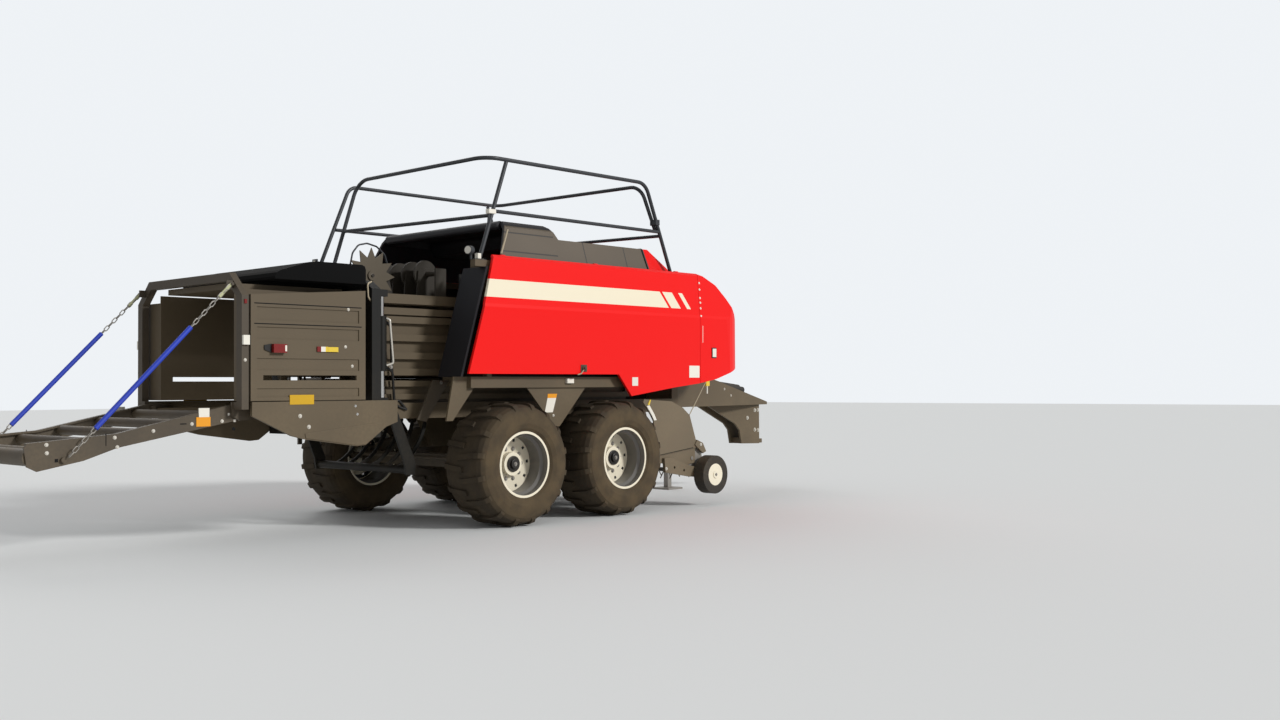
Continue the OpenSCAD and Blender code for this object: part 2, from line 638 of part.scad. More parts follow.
// Needle yoke below the chamber, at home: two arms, a cross tube and curved needles
needle_px = -1600;
needle_pz = 1040;
needle_arm = 550;
needle_home = -70;
needle_cx = needle_px + needle_arm * cos(needle_home);
needle_cz = needle_pz + needle_arm * sin(needle_home);
module needle_yoke() color(dark_grey) {
  both() {
    side_plate([[needle_px - 36, needle_pz - 40], [needle_px - 30, needle_pz + 36],
        [needle_px + 36, needle_pz + 36], [needle_cx + 60, needle_cz + 60], [needle_cx + 50, needle_cz - 45],
        [needle_cx - 45, needle_cz - 45], [needle_cx - 60, needle_cz + 60]], beam_y1 + 8, 25);
    bar_y(22, needle_px, needle_pz, beam_y1 + seat, beam_y1 + 9);
  }
  bar_y(36, needle_cx, needle_cz, -beam_y1 - 9, beam_y1 + 9);
  for (i = [0:needle_n - 1])
    side_plate(concat(arc(needle_px, needle_pz, needle_arm + 16, needle_home, -12, 12),
        arc(needle_px, needle_pz, needle_arm - 16, -9, needle_home, 12)), needle_y(i) - 8, 16);
}

// Knotter stack over the needle slots
knot_z = ceil_z + 260;
module knotter_stack() color(metal) {
  bar_y(25, -1000, knot_z, -640, 640);
  for (i = [0:needle_n - 1]) {
    side_plate([[-1120, top_z + seat], [-1100, knot_z + 30], [-960, knot_z + 60], [-880, top_z + seat]],
      needle_y(i) + 40, 12);
    bar_y(130, -1000, knot_z, needle_y(i) + 60, needle_y(i) + 80);
  }
  both() block([-1060, 620, top_z + seat], [-940, 640, knot_z + 40]);
}

// Side frame: the deck over the wheels, posts, upper rail and the pin that the shield hangs on
deck_y0 = body_half_w - 165;
deck_y1 = body_half_w - 100;
deck_z0 = 1250;
deck_z1 = 1350;
upper_z0 = 2340;
upper_z1 = 2400;
hinge_y = body_half_w - 100;
hinge_z = shield_top_z - 10;
shield_pin_r = 10;
hinge_x = [-700, 500, 1700];
shield_front = 1976;
module side_frame() color(steel_grey) {
  block([-1070, deck_y0, deck_z0], [1000, deck_y1, deck_z1]);
  side_plate([[-1230, deck_z1], [-1000, deck_z1], [-1000, deck_z0], [-1240, 960], [-1310, 960]], deck_y0, 20);
  side_plate([[-385, deck_z0 + weld], [385, deck_z0 + weld], [35, 880], [-35, 880]], deck_y0 + 25, 16);
  for (x = [-1000, 0, 900])
    block([x, half_out, deck_z1 - 80], [x + 70, deck_y0 + weld, deck_z1]);
  for (x = [-880, 950])
    block([x, deck_y0, deck_z1 - weld], [x + 50, deck_y1, upper_z0 + weld]);
  block([-1020, deck_y0, upper_z0], [shield_front, deck_y1, upper_z1]);
  for (x = [-620, 1300]) {
    block([x, half_out - 60, upper_z0], [x + 70, deck_y0 + weld, upper_z1]);
    block([x, half_out - 60, top_z + seat], [x + 70, half_out, upper_z0 + weld]);
  }
  for (x = hinge_x) {
    block([x - 50, hinge_y - 20, upper_z1 - weld], [x - 30, hinge_y + 8, hinge_z]);
    block([x + 30, hinge_y - 20, upper_z1 - weld], [x + 50, hinge_y + 8, hinge_z]);
    for (s = [-1, 1]) bar_x(shield_pin_r + 4, hinge_y, hinge_z, x + s * 40 - 10, x + s * 40 + 10);
    bar_x(shield_pin_r, hinge_y, hinge_z, x - 50, x + 50);
  }
}

// Twine boxes: a tray with a back wall and dividers, behind each shield
module twine_boxes() color(dark_grey) both() {
  block([-860, half_out + 60, deck_z1 + seat], [930, deck_y0 - 20, deck_z1 + 16]);
  block([-860, half_out + 60, deck_z1 + 15], [930, half_out + 72, 2300]);
  for (i = [0:4])
    block([-860 + i * 444.5, half_out + 71, deck_z1 + 15], [-848 + i * 444.5, deck_y0 - 20, 1800]);
}

// Dark end panels between a shield's rear edge and the chamber
shield_rake = 0.297;
function shield_back(z) = -850 - (shield_top_z - z) * shield_rake;
module rear_quarters() color(dark_grey) both()
  side_plate([[shield_back(deck_z1) - 35, deck_z1 + seat], [shield_back(deck_z1) - 10, deck_z1 + seat],
      [shield_back(upper_z0) - 10, upper_z0 - seat], [shield_back(upper_z0) - 35, upper_z0 - seat]],
    860, body_half_w - 930);

// Roof cover over the knotters and the deck: a shell that is open below and behind
roof_low = upper_z1 + seat;
roof_half = body_half_w - 180;
roof_back = -480;
roof_rake = 160;
roof_step = 130;
roof_front = 1390;
module roof_form(t, back) intersection() {
  side_plate([[roof_back - roof_rake - back, roof_low - t], [roof_back - back, roof_top_z - t],
      [40, roof_top_z - t], [95, roof_top_z - 22 - t], [165, roof_top_z - roof_step - t],
      [roof_front - 40 - t, roof_top_z - roof_step - t], [roof_front - t, roof_low - t]], -1300, 2600);
  end_form([[-roof_half + t, roof_low - t], [110 - roof_half + t, roof_top_z - 60 - t],
      [170 - roof_half + t, roof_top_z - t], [roof_half - 170 - t, roof_top_z - t],
      [roof_half - 110 - t, roof_top_z - 60 - t], [roof_half - t, roof_low - t]],
    roof_back - 700, roof_front - roof_back + 800);
}
module roof_cover() color(steel_grey) {
  difference() {
    roof_form(0, 0);
    roof_form(22, 300);
  }
  bar_y(42, roof_back - 4, roof_top_z - 36, 200 - roof_half, roof_half - 200);
}

// Handrail round the service deck
rail_r = rail_d / 2;
rail_y = body_half_w - 150;
rail_back = -850;
rail_bend = 110;
rail_foot = upper_z1 + seat;
// Height of the middle of a foot, so that its lowest edge rests on the deck when the leg leans by run
function foot_z(run) = rail_foot + rail_r * run / norm([run, rail_z - rail_foot]);
far_leg_y = 880;
near_front_x = 1290;
near_foot_x = 1690;
far_front_x = 1180;
near_path = [[-1158, far_leg_y, foot_z(308)], [rail_back, far_leg_y, rail_z], [rail_back, -rail_y, rail_z],
  [near_front_x, -rail_y, rail_z], [near_foot_x, -rail_y, foot_z(near_foot_x - near_front_x)]];
near_leg_x = near_front_x + (near_foot_x - near_front_x) * (rail_z - mid_rail_z) / (rail_z - rail_foot);
pair_y = -rail_y + rail_d + seat + 4;
far_rail_z = rail_z - 30;
far_path = [[-1183, rail_y, foot_z(396)], [-800, rail_y, far_rail_z], [far_front_x, rail_y, far_rail_z],
  [far_front_x, pair_y, far_rail_z], [near_leg_x + 5, pair_y, mid_rail_z]];
module rail_near_loop() color(dark_grey) bent_tube(near_path, rail_r, rail_bend);
module rail_far_loop() color(dark_grey) bent_tube(far_path, rail_r, rail_bend);

// Where a leg that leans from foot_x to top_x is at the height z
function leg_x(foot_x, top_x, z) = foot_x + (top_x - foot_x) * (z - rail_foot) / (rail_z - rail_foot);
post_foot_x = -930;
post_top_x = -600;
far_post_x = [1370, 1040];
low_mid_z = mid_rail_z - 40;
slim_r = rail_r - 1.5;
function post_x(z) = leg_x(post_foot_x, post_top_x, z);
function far_x(z) = leg_x(far_post_x[0], far_post_x[1], z);
module rail_middle() color(dark_grey) {
  cut_rod([post_foot_x, -rail_y, foot_z(330)], [post_top_x, -rail_y, rail_z], rail_r, 0, 29);
  cut_rod([post_x(mid_rail_z), -rail_y, mid_rail_z], [near_leg_x, -rail_y, mid_rail_z], slim_r, 0, 29);
  cut_rod([leg_x(-1158, rail_back, low_mid_z), far_leg_y, low_mid_z], [post_x(low_mid_z), -rail_y, low_mid_z],
    slim_r, 23, 0);
  cut_rod([far_post_x[0], rail_y, foot_z(341)], [far_post_x[1], rail_y, far_rail_z], rail_r, 0, 29);
  cut_rod([leg_x(-1183, -790, mid_rail_z), rail_y, mid_rail_z], [far_x(mid_rail_z), rail_y, mid_rail_z],
    slim_r, 29, 0);
  cut_rod([leg_x(near_foot_x, near_front_x, low_mid_z), -rail_y, low_mid_z],
    [far_x(low_mid_z), rail_y, low_mid_z], slim_r, 23, 0);
}

// Ladder and landing at the left rear
ladder_x = -1400;
ladder_y = [700, deck_y0 + 10];
module ladder() color(dark_grey) {
  for (y = ladder_y) block([ladder_x, y, 700], [ladder_x + 40, y + 25, upper_z1 - 5]);
  for (i = [0:5]) bar_y(15, ladder_x + 20, 800 + i * 270, ladder_y[0] + 24, ladder_y[1] + 1);
  block([ladder_x, ladder_y[0], upper_z1 - 20], [-1020 - seat, ladder_y[1] + 25, upper_z1]);
  block([ladder_x + 39, ladder_y[1], 930], [-1245, ladder_y[1] + 10, 960 - seat]);
}

// Side shields: creased shells cut to the side outline, hung on the upper rail
crease_z = 1975;
lip_y = hinge_y + 20;
top_y = body_half_w - 65;
edge_y = body_half_w - 38;
module shield() color(red) {
  intersection() {
    side_plate([[shield_back(shield_low_z), shield_low_z], [shield_back(shield_top_z), shield_top_z],
        [shield_front, shield_top_z], [shield_front, 1285], [1590, 1245], [920, 1160], [735, shield_low_z]],
      body_half_w - 250, 400);
    end_form([[lip_y, shield_top_z], [top_y, shield_top_z], [edge_y, shield_top_z - 25],
        [body_half_w - 8, crease_z + 30], [body_half_w, crease_z], [body_half_w - 10, 1100],
        [body_half_w - 10 - shield_t, 1100],
        [body_half_w - shield_t, crease_z], [body_half_w - 8 - shield_t, crease_z + 26],
        [edge_y - shield_t, shield_top_z - 30], [top_y - 8, shield_top_z - 24], [lip_y, shield_top_z - 24]],
      -1300, 3400);
  }
  for (x = hinge_x) difference() {
    union() {
      bar_x(shield_pin_r + 12, hinge_y, hinge_z, x - 25, x + 25);
      block([x - 25, hinge_y + 8, hinge_z - 10], [x + 25, lip_y + 6, hinge_z + 9]);
    }
    bar_x(shield_pin_r + seat, hinge_y, hinge_z, x - 26, x + 26);
  }
}

// Front hood: the meeting of a side, a plan and an end outline, hollowed, with the shoulder behind it
nose_x = 2420;
nose_r = 420;
module hood_form(t) intersection() {
  side_plate([[shield_front + run, shield_top_z - t], [2060, 2428 - t], [2270, 2340 - t], [2430, 2210 - t / 2],
      [2640 - t / 2, 2010], [2800 - t, 1810], [2830 - t, 1610], [2800 - t, 1520], [2700 - t, 1460 - t * 2],
      [2250, 1330 - t * 2], [shield_front + run, 1287 - t * 2]], -1300, 2600);
  translate([0, 0, 1000]) linear_extrude(1600)
    polygon(concat([[shield_front + run, -body_half_w + t]],
        arc(nose_x, -body_half_w + nose_r, nose_r - t, -90, -20, 8),
        arc(nose_x, body_half_w - nose_r, nose_r - t, 20, 90, 8), [[shield_front + run, body_half_w - t]]));
  end_form([[-top_y + t, shield_top_z], [-edge_y + t, shield_top_z - 25],
      [-body_half_w + 8 + t, crease_z + 30], [-body_half_w + t, crease_z], [-body_half_w + 10 + t, 1000],
      [body_half_w - 10 - t, 1000],
      [body_half_w - t, crease_z], [body_half_w - 8 - t, crease_z + 30], [edge_y - t, shield_top_z - 25],
      [top_y - t, shield_top_z]], shield_front, 1200);
}
module shoulder_form(t) intersection() {
  side_plate([[roof_front + seat + t, roof_low - t], [roof_front - 40 + seat + t, roof_top_z - roof_step - t],
      [roof_front + 50, roof_top_z - roof_step - t], [1740, shield_top_z - t], [shield_front + 40, shield_top_z - t],
      [shield_front + 40, roof_low - t]], -1300, 2600);
  end_form([[-roof_half + t, roof_low - t], [110 - roof_half + t, roof_top_z - 60 - t],
      [roof_half - 110 - t, roof_top_z - 60 - t], [roof_half - t, roof_low - t]], 1000, 1100);
}
module front_hood() color(red) {
  difference() {
    hood_form(0);
    translate([-1, 0, -1]) hood_form(shield_t);
  }
  difference() {
    shoulder_form(0);
    translate([0, 0, -1]) shoulder_form(20);
  }
}

// Drawbar: a tapering box frame that closes to the hitch, drop plates, the eye and the shaft rest
drawbar_low = 1020;
drawbar_front = hitch_x + 90;
drawbar_rear = 620;
drawbar_nose = 105;
pit_x = hitch_x - 880;
plate_y = [75, 100];
plate_x1 = hitch_x - 70;
jack_x = 3350;
jack_half = 45;
jack_y = round(bar_half(jack_x)) + jack_half + 11;
shaft_x = 2580;
shaft_tilt = 6;
shaft_len = 1700;
shaft_r = 60;
rest_x = hitch_x - 640;
rest_z = drive_z - (rest_x + 12 - shaft_x) * tan(shaft_tilt) - shaft_r / cos(shaft_tilt);
// Half width over the drawbar at x
function bar_half(x) =
  drawbar_rear - (x - frame_front) * (drawbar_rear - drawbar_nose) / (drawbar_front - frame_front);
module drawbar() color(steel_grey) {
  intersection() {
    side_plate([[frame_front + seat, drawbar_low], [frame_front + seat, 1440], [2680, 1430], [3410, 1297],
        [drawbar_front, drawbar_low + 34], [drawbar_front, drawbar_low]], -700, 1400);
    difference() {
      translate([0, 0, 1000]) linear_extrude(500)
        polygon([[frame_front, -drawbar_rear], [drawbar_front, -drawbar_nose], [drawbar_front, drawbar_nose],
            [frame_front, drawbar_rear]]);
      translate([0, 0, 990]) linear_extrude(520)
        polygon([[frame_front - 1, 60 - drawbar_rear], [pit_x, 100 - bar_half(pit_x)],
            [pit_x, bar_half(pit_x) - 100], [frame_front - 1, drawbar_rear - 60]]);
      translate([0, 0, drawbar_low + 20]) linear_extrude(800)
        polygon([[pit_x, -140], [drawbar_front - 120, -80], [drawbar_front - 120, 80], [pit_x, 140]]);
    }
  }
  both() side_plate([[hitch_x - 1085, drawbar_low + weld], [plate_x1, drawbar_low + weld],
      [plate_x1, hitch_z - 30], [hitch_x - 430, hitch_z - 20], [hitch_x - 470, hitch_z + 150],
      [hitch_x - 555, hitch_z + 230]], plate_y[0], plate_y[1] - plate_y[0]);
  difference() {
    union() {
      block([hitch_x - 400, -plate_y[0] - weld, hitch_z - 20],
        [plate_x1 - 10, plate_y[0] + weld, hitch_z + 50]);
      bar_z(70, hitch_x, 0, hitch_z - 25, hitch_z + 25);
      block([hitch_x - 130, -50, hitch_z - 20], [hitch_x, 50, hitch_z + 20]);
    }
    bar_z(hitch_pin_d / 2, hitch_x, 0, hitch_z - 60, hitch_z + 60);
  }
  block([jack_x - 45, bar_half(jack_x) - 60, 1050], [jack_x + 45, jack_y - jack_half - seat, 1200]);
  block([rest_x - 12, -50, drawbar_low + 19], [rest_x + 12, 50, rest_z - seat]);
}

module jack_sleeve() color(dark_grey) difference() {
  block([jack_x - jack_half, jack_y - jack_half, 720], [jack_x + jack_half, jack_y + jack_half, 1520]);
  block([jack_x - 34, jack_y - 34, 719], [jack_x + 34, jack_y + 34, 1500]);
}
module jack_leg() color(metal) {
  block([jack_x - 33.7, jack_y - 33.7, 20], [jack_x + 33.7, jack_y + 33.7, 1100]);
  block([jack_x - 130, jack_y - 130, 0], [jack_x + 130, jack_y + 130, 21]);
}

// Main gearbox, its input shaft with the flywheel, and the jointed drive shaft
gearbox_x1 = frame_front - cross_w - 10;
module main_gearbox() color(dark_grey)
  block([gearbox_x0, -320, beam_z1 + seat], [gearbox_x1, 320, 1900]);

flywheel_r = 380;
module flywheel() color(dark_grey) {
  bar_x(flywheel_r, 0, drive_z, 2330, 2420);
  bar_x(90, 0, drive_z, 2290, 2470);
  bar_x(input_r, 0, drive_z, gearbox_x1 + seat, shaft_x - shaft_r - seat);
}
pto_r = 22.2;
module drive_shaft() color(dark_grey) difference() {
  translate([shaft_x, 0, drive_z]) rotate([0, 90 + shaft_tilt, 0]) {
    sphere(r = shaft_r, $fn = 48);
    cylinder(r = 42, h = 200, $fn = 48);
    translate([0, 0, 120]) cylinder(r = shaft_r, h = shaft_len - 220, $fn = 48);
    translate([0, 0, shaft_len - 101]) cylinder(r = 42, h = 101, $fn = 48);
  }
  translate([shaft_x, 0, drive_z]) rotate([0, 90 + shaft_tilt, 0])
    translate([0, 0, shaft_len - 90]) cylinder(r = pto_r, h = 92, $fn = 48);
}

// Curved duct from the pickup up into the chamber
duct_r = 740;
duct_cx = 1450;
duct_cz = beam_z1 - seat;
module feeder_duct() color(dark_grey) intersection() {
  translate([duct_cx, half_in - seat, duct_cz]) rotate([90, 0, 0]) difference() {
    cylinder(r = duct_r, h = chamber_w - 2 * seat, $fn = 96);
    translate([0, 0, 14]) cylinder(r = duct_r - 14, h = chamber_w - 28 - 2 * seat, $fn = 96);
    translate([0, 0, -1]) cylinder(r = 420, h = chamber_w + 2, $fn = 96);
  }
  block([duct_cx - duct_r - 10, -half_in, 300], [duct_cx, half_in, duct_cz]);
}

// Pickup: frame with end shields, and the tined reel
reel_x = 1850;
reel_z = 500;
gauge_x = 2035;
gauge_z = 325;
gauge_w = 130;
gauge_y0 = pickup_half_w + 28;
end_t = 25;
module pickup_frame() color(steel_grey) {
  both() {
    difference() {
      union() {
        side_plate([[1250, 600], [1245, 900], [1205, 960], [1130, 1050], [1090, 1095], [1100, 1125],
            [1520, 1100], [1700, 1030], [1808, 950], [1935, 612], [1325, 545]],
          pickup_half_w - end_t + 12, end_t - 12);
        side_plate([[1325, 470], [1300, 760], [1840, 760], [1905, 590], [1895, 450], [1760, 435]],
          pickup_half_w - end_t, 13);
      }
      bar_y(20 + seat, reel_x, reel_z, pickup_half_w - end_t - 1, pickup_half_w + 1);
    }
    difference() {
      side_plate([[1400, 375], [1385, 520], [1500, 520], [1790, 425], [gauge_x + 20, 380], [gauge_x + 48, 330],
          [gauge_x + 30, 285], [1775, 312]], pickup_half_w - end_t + 12, end_t + 8);
      for (p = [[1540, 418], [1690, 382]]) bar_y(14, p[0], p[1], pickup_half_w - end_t, pickup_half_w + 21);
    }
    side_plate([[1880, 640], [1915, 690], [2005, 655], [2060, 565], [2010, 545]],
      pickup_half_w - end_t + 12, end_t);
    bar_y(18, gauge_x, gauge_z, pickup_half_w + 18, gauge_y0 + gauge_w - 8);
    difference() {
      side_plate([[pickup_px - 50, pickup_pz - 40], [pickup_px - 40, pickup_pz + 45],
          [pickup_px + 40, pickup_pz + 45],
          [pickup_px + 160, 740], [pickup_px + 160, 660], [pickup_px + 80, 660]], pickup_arm_y, 20);
      bar_y(20 + seat, pickup_px, pickup_pz, pickup_arm_y - 1, pickup_arm_y + 21);
    }
  }
  block([pickup_px + 80, -pickup_half_w + end_t - weld, 660],
    [pickup_px + 160, pickup_half_w - end_t + weld, 740]);
}
tine_bars = 5;
tine_pitch = 132;
bar_r = 165;
module pickup_reel() color(metal) {
  inner = pickup_half_w - end_t;
  bar_y(20, reel_x, reel_z, -inner - 20, inner + 20);
  bar_y(60, reel_x, reel_z, -inner + run, inner - run);
  for (y = [-inner + run, -inner / 3, inner / 3, inner - run - 12])
    bar_y(bar_r + 20, reel_x, reel_z, y, y + 12);
  translate([reel_x, 0, reel_z]) for (i = [0:tine_bars - 1]) rotate([0, i * 360 / tine_bars, 0]) {
    bar_y(14, 0, bar_r, -inner + run, inner - run);
    for (k = [-8:8]) translate([0, k * tine_pitch, bar_r]) cylinder(r = 6, h = tine_r - bar_r, $fn = 8);
  }
}
module gauge_wheel() color(rubber) difference() {
  bar_y(gauge_d / 2, gauge_x, gauge_z, gauge_y0, gauge_y0 + gauge_w);
  bar_y(18 + seat, gauge_x, gauge_z, gauge_y0 - 1, gauge_y0 + gauge_w - 6);
}

// The whole machine stands with the middle of its box over the origin
overall_front = drawbar_front;
overall_back = -chute_px + chute_len * cos(chute_slope) + end_roller_z * sin(chute_slope) + end_roller_r;
mid_x = (overall_front - overall_back) / 2;
module placed() translate([-mid_x, 0, 0]) children();

placed() main_frame();
placed() axle_front();
placed() axle_rear();
placed() bogie_beams();
placed() knuckle();  // knuckle_left
placed() on(false) knuckle();  // knuckle_right
placed() tie_rod();
placed() wheel_at(half_gap, true) rim();  // rim_front_left
placed() wheel_at(half_gap, false) rim();  // rim_front_right
placed() wheel_at(-half_gap, true) rim();  // rim_rear_left
placed() wheel_at(-half_gap, false) rim();  // rim_rear_right
placed() wheel_at(half_gap, true) tyre();  // tyre_front_left
placed() wheel_at(half_gap, false) tyre();  // tyre_front_right
placed() wheel_at(-half_gap, true) tyre();  // tyre_rear_left
placed() wheel_at(-half_gap, false) tyre();  // tyre_rear_right
placed() chamber_side(true);  // chamber_wall_left
placed() chamber_side(false);  // chamber_wall_right
placed() chamber_floor();
placed() chamber_roof();  // chamber_top
placed() lower_skirts();
placed() tension_yoke();
placed() density_cylinders();
placed() rear_portal();
placed() door_side();  // door_left
placed() on(false) door_side();  // door_right
placed() door_top();
placed() door_top_cover();
placed() lamp();  // lamp_left
placed() on(false) lamp();  // lamp_right
placed() star_wheel();
placed() star_wheel_arm();
placed() needle_yoke();
placed() knotter_stack();
placed() side_frame();  // side_frame_left
placed() on(false) side_frame();  // side_frame_right
placed() twine_boxes();
placed() rear_quarters();
placed() roof_cover();
placed() rail_near_loop();
placed() rail_far_loop();
placed() rail_middle();
placed() ladder();
placed() shield();  // shield_left
placed() on(false) shield();  // shield_right
placed() front_hood();
placed() drawbar();
placed() main_gearbox();
placed() flywheel();
placed() drive_shaft();
placed() jack_sleeve();
placed() jack_leg();
placed() feeder_duct();
placed() pickup_frame();
placed() pickup_reel();
placed() gauge_wheel();  // gauge_wheel_left
placed() on(false) gauge_wheel();  // gauge_wheel_right
placed() chute_frame();
placed() chute_chains();
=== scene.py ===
# %% [markdown]
# A large square baler, dressed for a studio picture. The exact solids come in as a fixed frame, so every place and
# size is already true, and this script adds what a solid model leaves out: paint, dust, stripes, bent tubes,
# chains, hoses, bolts and lamps. Each step says what the piece is, how it could be made and why this way was chosen.

# %% Load the frame
import json
import math
import bpy
import bmesh
from mathutils import Matrix, Vector
from mathutils.bvhtree import BVHTree


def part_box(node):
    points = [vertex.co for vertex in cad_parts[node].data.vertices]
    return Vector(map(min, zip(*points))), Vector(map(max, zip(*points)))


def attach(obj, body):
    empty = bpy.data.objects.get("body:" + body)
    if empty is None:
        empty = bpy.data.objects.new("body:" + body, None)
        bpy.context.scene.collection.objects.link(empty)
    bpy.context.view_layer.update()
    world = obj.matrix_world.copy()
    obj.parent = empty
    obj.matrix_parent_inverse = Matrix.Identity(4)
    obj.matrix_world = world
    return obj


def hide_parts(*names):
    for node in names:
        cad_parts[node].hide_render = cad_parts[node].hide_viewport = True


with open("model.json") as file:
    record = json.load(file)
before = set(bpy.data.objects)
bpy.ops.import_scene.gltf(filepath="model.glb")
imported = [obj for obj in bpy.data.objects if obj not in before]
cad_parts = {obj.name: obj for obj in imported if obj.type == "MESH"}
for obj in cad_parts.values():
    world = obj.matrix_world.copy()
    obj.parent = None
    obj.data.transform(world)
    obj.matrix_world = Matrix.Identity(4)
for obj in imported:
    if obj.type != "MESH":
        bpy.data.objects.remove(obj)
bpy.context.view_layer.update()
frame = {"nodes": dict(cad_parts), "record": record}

# %% [markdown]
# Lengths are in metres. The machine's natural zero is the ground under the middle of its tandem, while the frame
# is centred on its own box, so one shift, measured from the wheels, turns the one into the other.

# %% Measure the machine's own zero
def middle(node):
    low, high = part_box(node)
    return (Vector(low) + Vector(high)) / 2


tandem_x = (middle("tyre_front_right").x + middle("tyre_rear_right").x) / 2


def at(x, y, z):
    """A place given from the middle of the tandem on the ground."""
    return Vector((x + tandem_x, y, z))


print("tandem middle at x", round(tandem_x, 3))

# %% [markdown]
# The camera stands where the photograph was taken from: behind the machine on its right, at chest height, looking
# slightly up. Its place could be found by eye, but it was solved from the wheels and the panel edges, so the render
# can be laid over the photograph. The focal length is given for a sensor 36 mm wide.

# %% Camera
heading, pitch, roll = (math.radians(a) for a in (42.729, 1.185, -0.302))
camera_place = at(-8.357, -9.924, 1.256)
ahead = Vector((math.cos(heading) * math.cos(pitch), math.sin(heading) * math.cos(pitch), math.sin(pitch)))
level_right = Vector((math.sin(heading), -math.cos(heading), 0))
level_up = level_right.cross(ahead)
right = math.cos(roll) * level_right + math.sin(roll) * level_up
up = math.cos(roll) * level_up - math.sin(roll) * level_right
camera = bpy.data.objects.new("camera", bpy.data.cameras.new("camera"))
camera.data.lens = 35.82
camera.data.sensor_width = 36
camera.data.clip_end = 200
turned = Matrix((right, up, -ahead)).transposed().to_4x4()
camera.matrix_world = Matrix.Translation(camera_place) @ turned
bpy.context.collection.objects.link(camera)
bpy.context.scene.camera = camera
print("camera looks along", [round(v, 3) for v in ahead])

# %% [markdown]
# Light: a pale world fills every shadow, one broad sun over the camera's right shoulder gives the panels their form,
# and a weak, very wide one from the far side keeps the far edges readable. Area lamps would do too, but a machine
# nine metres long would need very large ones. The three are balanced so that a colour renders about as written.

# %% World and suns
def lamp_sun(name, strength, spread, tilt, turn):
    """A sun with its spread, tilt and turn in degrees."""
    lamp = bpy.data.objects.new(name, bpy.data.lights.new(name, "SUN"))
    lamp.data.energy = strength
    lamp.data.angle = math.radians(spread)
    lamp.rotation_euler = (math.radians(tilt), 0, math.radians(turn))
    bpy.context.collection.objects.link(lamp)


lamp_sun("key_sun", strength=2.15, spread=9, tilt=64, turn=20)
lamp_sun("back_sun", strength=0.6, spread=40, tilt=55, turn=160)
# The world lights the machine with one colour and shows the camera another
world_light, world_strength = (0.97, 0.98, 1.0, 1), 0.48
backdrop = (0.86, 0.89, 0.92, 1)
scene = bpy.context.scene
scene.view_settings.view_transform = "Standard"
world = bpy.data.worlds.new("studio")
scene.world = world
world.use_nodes = True
world_nodes = world.node_tree.nodes
lighting = world_nodes["Background"]
lighting.inputs["Color"].default_value = world_light
lighting.inputs["Strength"].default_value = world_strength
seen = world_nodes.new("ShaderNodeBackground")
seen.inputs["Color"].default_value = backdrop
path = world_nodes.new("ShaderNodeLightPath")
choose = world_nodes.new("ShaderNodeMixShader")
links = world.node_tree.links
links.new(path.outputs["Is Camera Ray"], choose.inputs[0])
links.new(lighting.outputs[0], choose.inputs[1])
links.new(seen.outputs[0], choose.inputs[2])
links.new(choose.outputs[0], world_nodes["World Output"].inputs[0])
print("world and two suns ready")

# %% [markdown]
# Shader maths reads best as plain arithmetic. A Field wraps one socket of a material and turns Python's operators
# into Math nodes, so 1 - mask works. A Finish holds one material: its add method makes any other node, and its
# paint method lays values on the main shader.

# %% Shader helpers
class Field:
    def __init__(self, finish, socket):
        self.finish, self.socket = finish, socket

    def math(self, operation, a, b):
        return self.finish.add("ShaderNodeMath", {"operation": operation}, {0: a, 1: b})

    def __add__(self, other):
        return self.math("ADD", self, other)

    def __radd__(self, other):
        return self.math("ADD", other, self)

    def __sub__(self, other):
        return self.math("SUBTRACT", self, other)

    def __rsub__(self, other):
        return self.math("SUBTRACT", other, self)

    def __mul__(self, other):
        return self.math("MULTIPLY", self, other)

    def __gt__(self, other):
        return self.math("GREATER_THAN", self, other)

    def __lt__(self, other):
        return self.math("LESS_THAN", self, other)

    def clamp(self, low, high):
        """0 below low, 1 above high and smooth between them."""
        return self.finish.add("ShaderNodeMapRange", {"interpolation_type": "SMOOTHSTEP"},
                               {"Value": self, "From Min": low, "From Max": high})


class Finish:
    def __init__(self, name):
        self.material = bpy.data.materials.new(name)
        self.material.use_nodes = True
        self.tree = self.material.node_tree
        self.shader = self.tree.nodes["Principled BSDF"]

    def add(self, kind, settings=None, inputs=None, out=0):
        node = self.tree.nodes.new(kind)
        for name, value in (settings or {}).items():
            setattr(node, name, value)
        for name, value in (inputs or {}).items():
            self.feed(node.inputs[name], value)
        return Field(self, node.outputs[out])

    def feed(self, socket, value):
        if isinstance(value, Field):
            self.tree.links.new(value.socket, socket)
        else:
            socket.default_value = value

    def paint(self, **values):
        for name, value in values.items():
            self.feed(self.shader.inputs[name.replace("_", " ")], value)
        return self.material

    def mix(self, mask, low, high):
        """Colour low where the mask is 0 and colour high where it is 1."""
        return self.add("ShaderNodeMix", {"data_type": "RGBA"}, {0: mask, 6: low, 7: high}, out=2)

    def place(self):
        """The x, y and z of the surface in the frame, in metres, which move with the piece."""
        spot = self.add("ShaderNodeTexCoord", out="Object")
        return [self.add("ShaderNodeSeparateXYZ", None, {0: spot}, out=axis) for axis in "XYZ"]

    def reach(self, hub):
        """Distance of the surface from a wheel's axis."""
        x, y, z = self.place()
        dx, dz = x - hub.x, z - hub.z
        return self.add("ShaderNodeMath", {"operation": "SQRT"}, {0: dx * dx + dz * dz})

    def facing_up(self):
        turn = self.add("ShaderNodeNewGeometry", out="Normal")
        return self.add("ShaderNodeSeparateXYZ", None, {0: turn}, out="Z")

    def noise(self, scale, detail=3.0):
        spot = self.add("ShaderNodeTexCoord", out="Object")
        return self.add("ShaderNodeTexNoise", None, {"Vector": spot, "Scale": scale, "Detail": detail})

    def bump(self, height, strength, distance):
        return self.add("ShaderNodeBump", None, {"Height": height, "Strength": strength, "Distance": distance})


print("shader helpers ready")

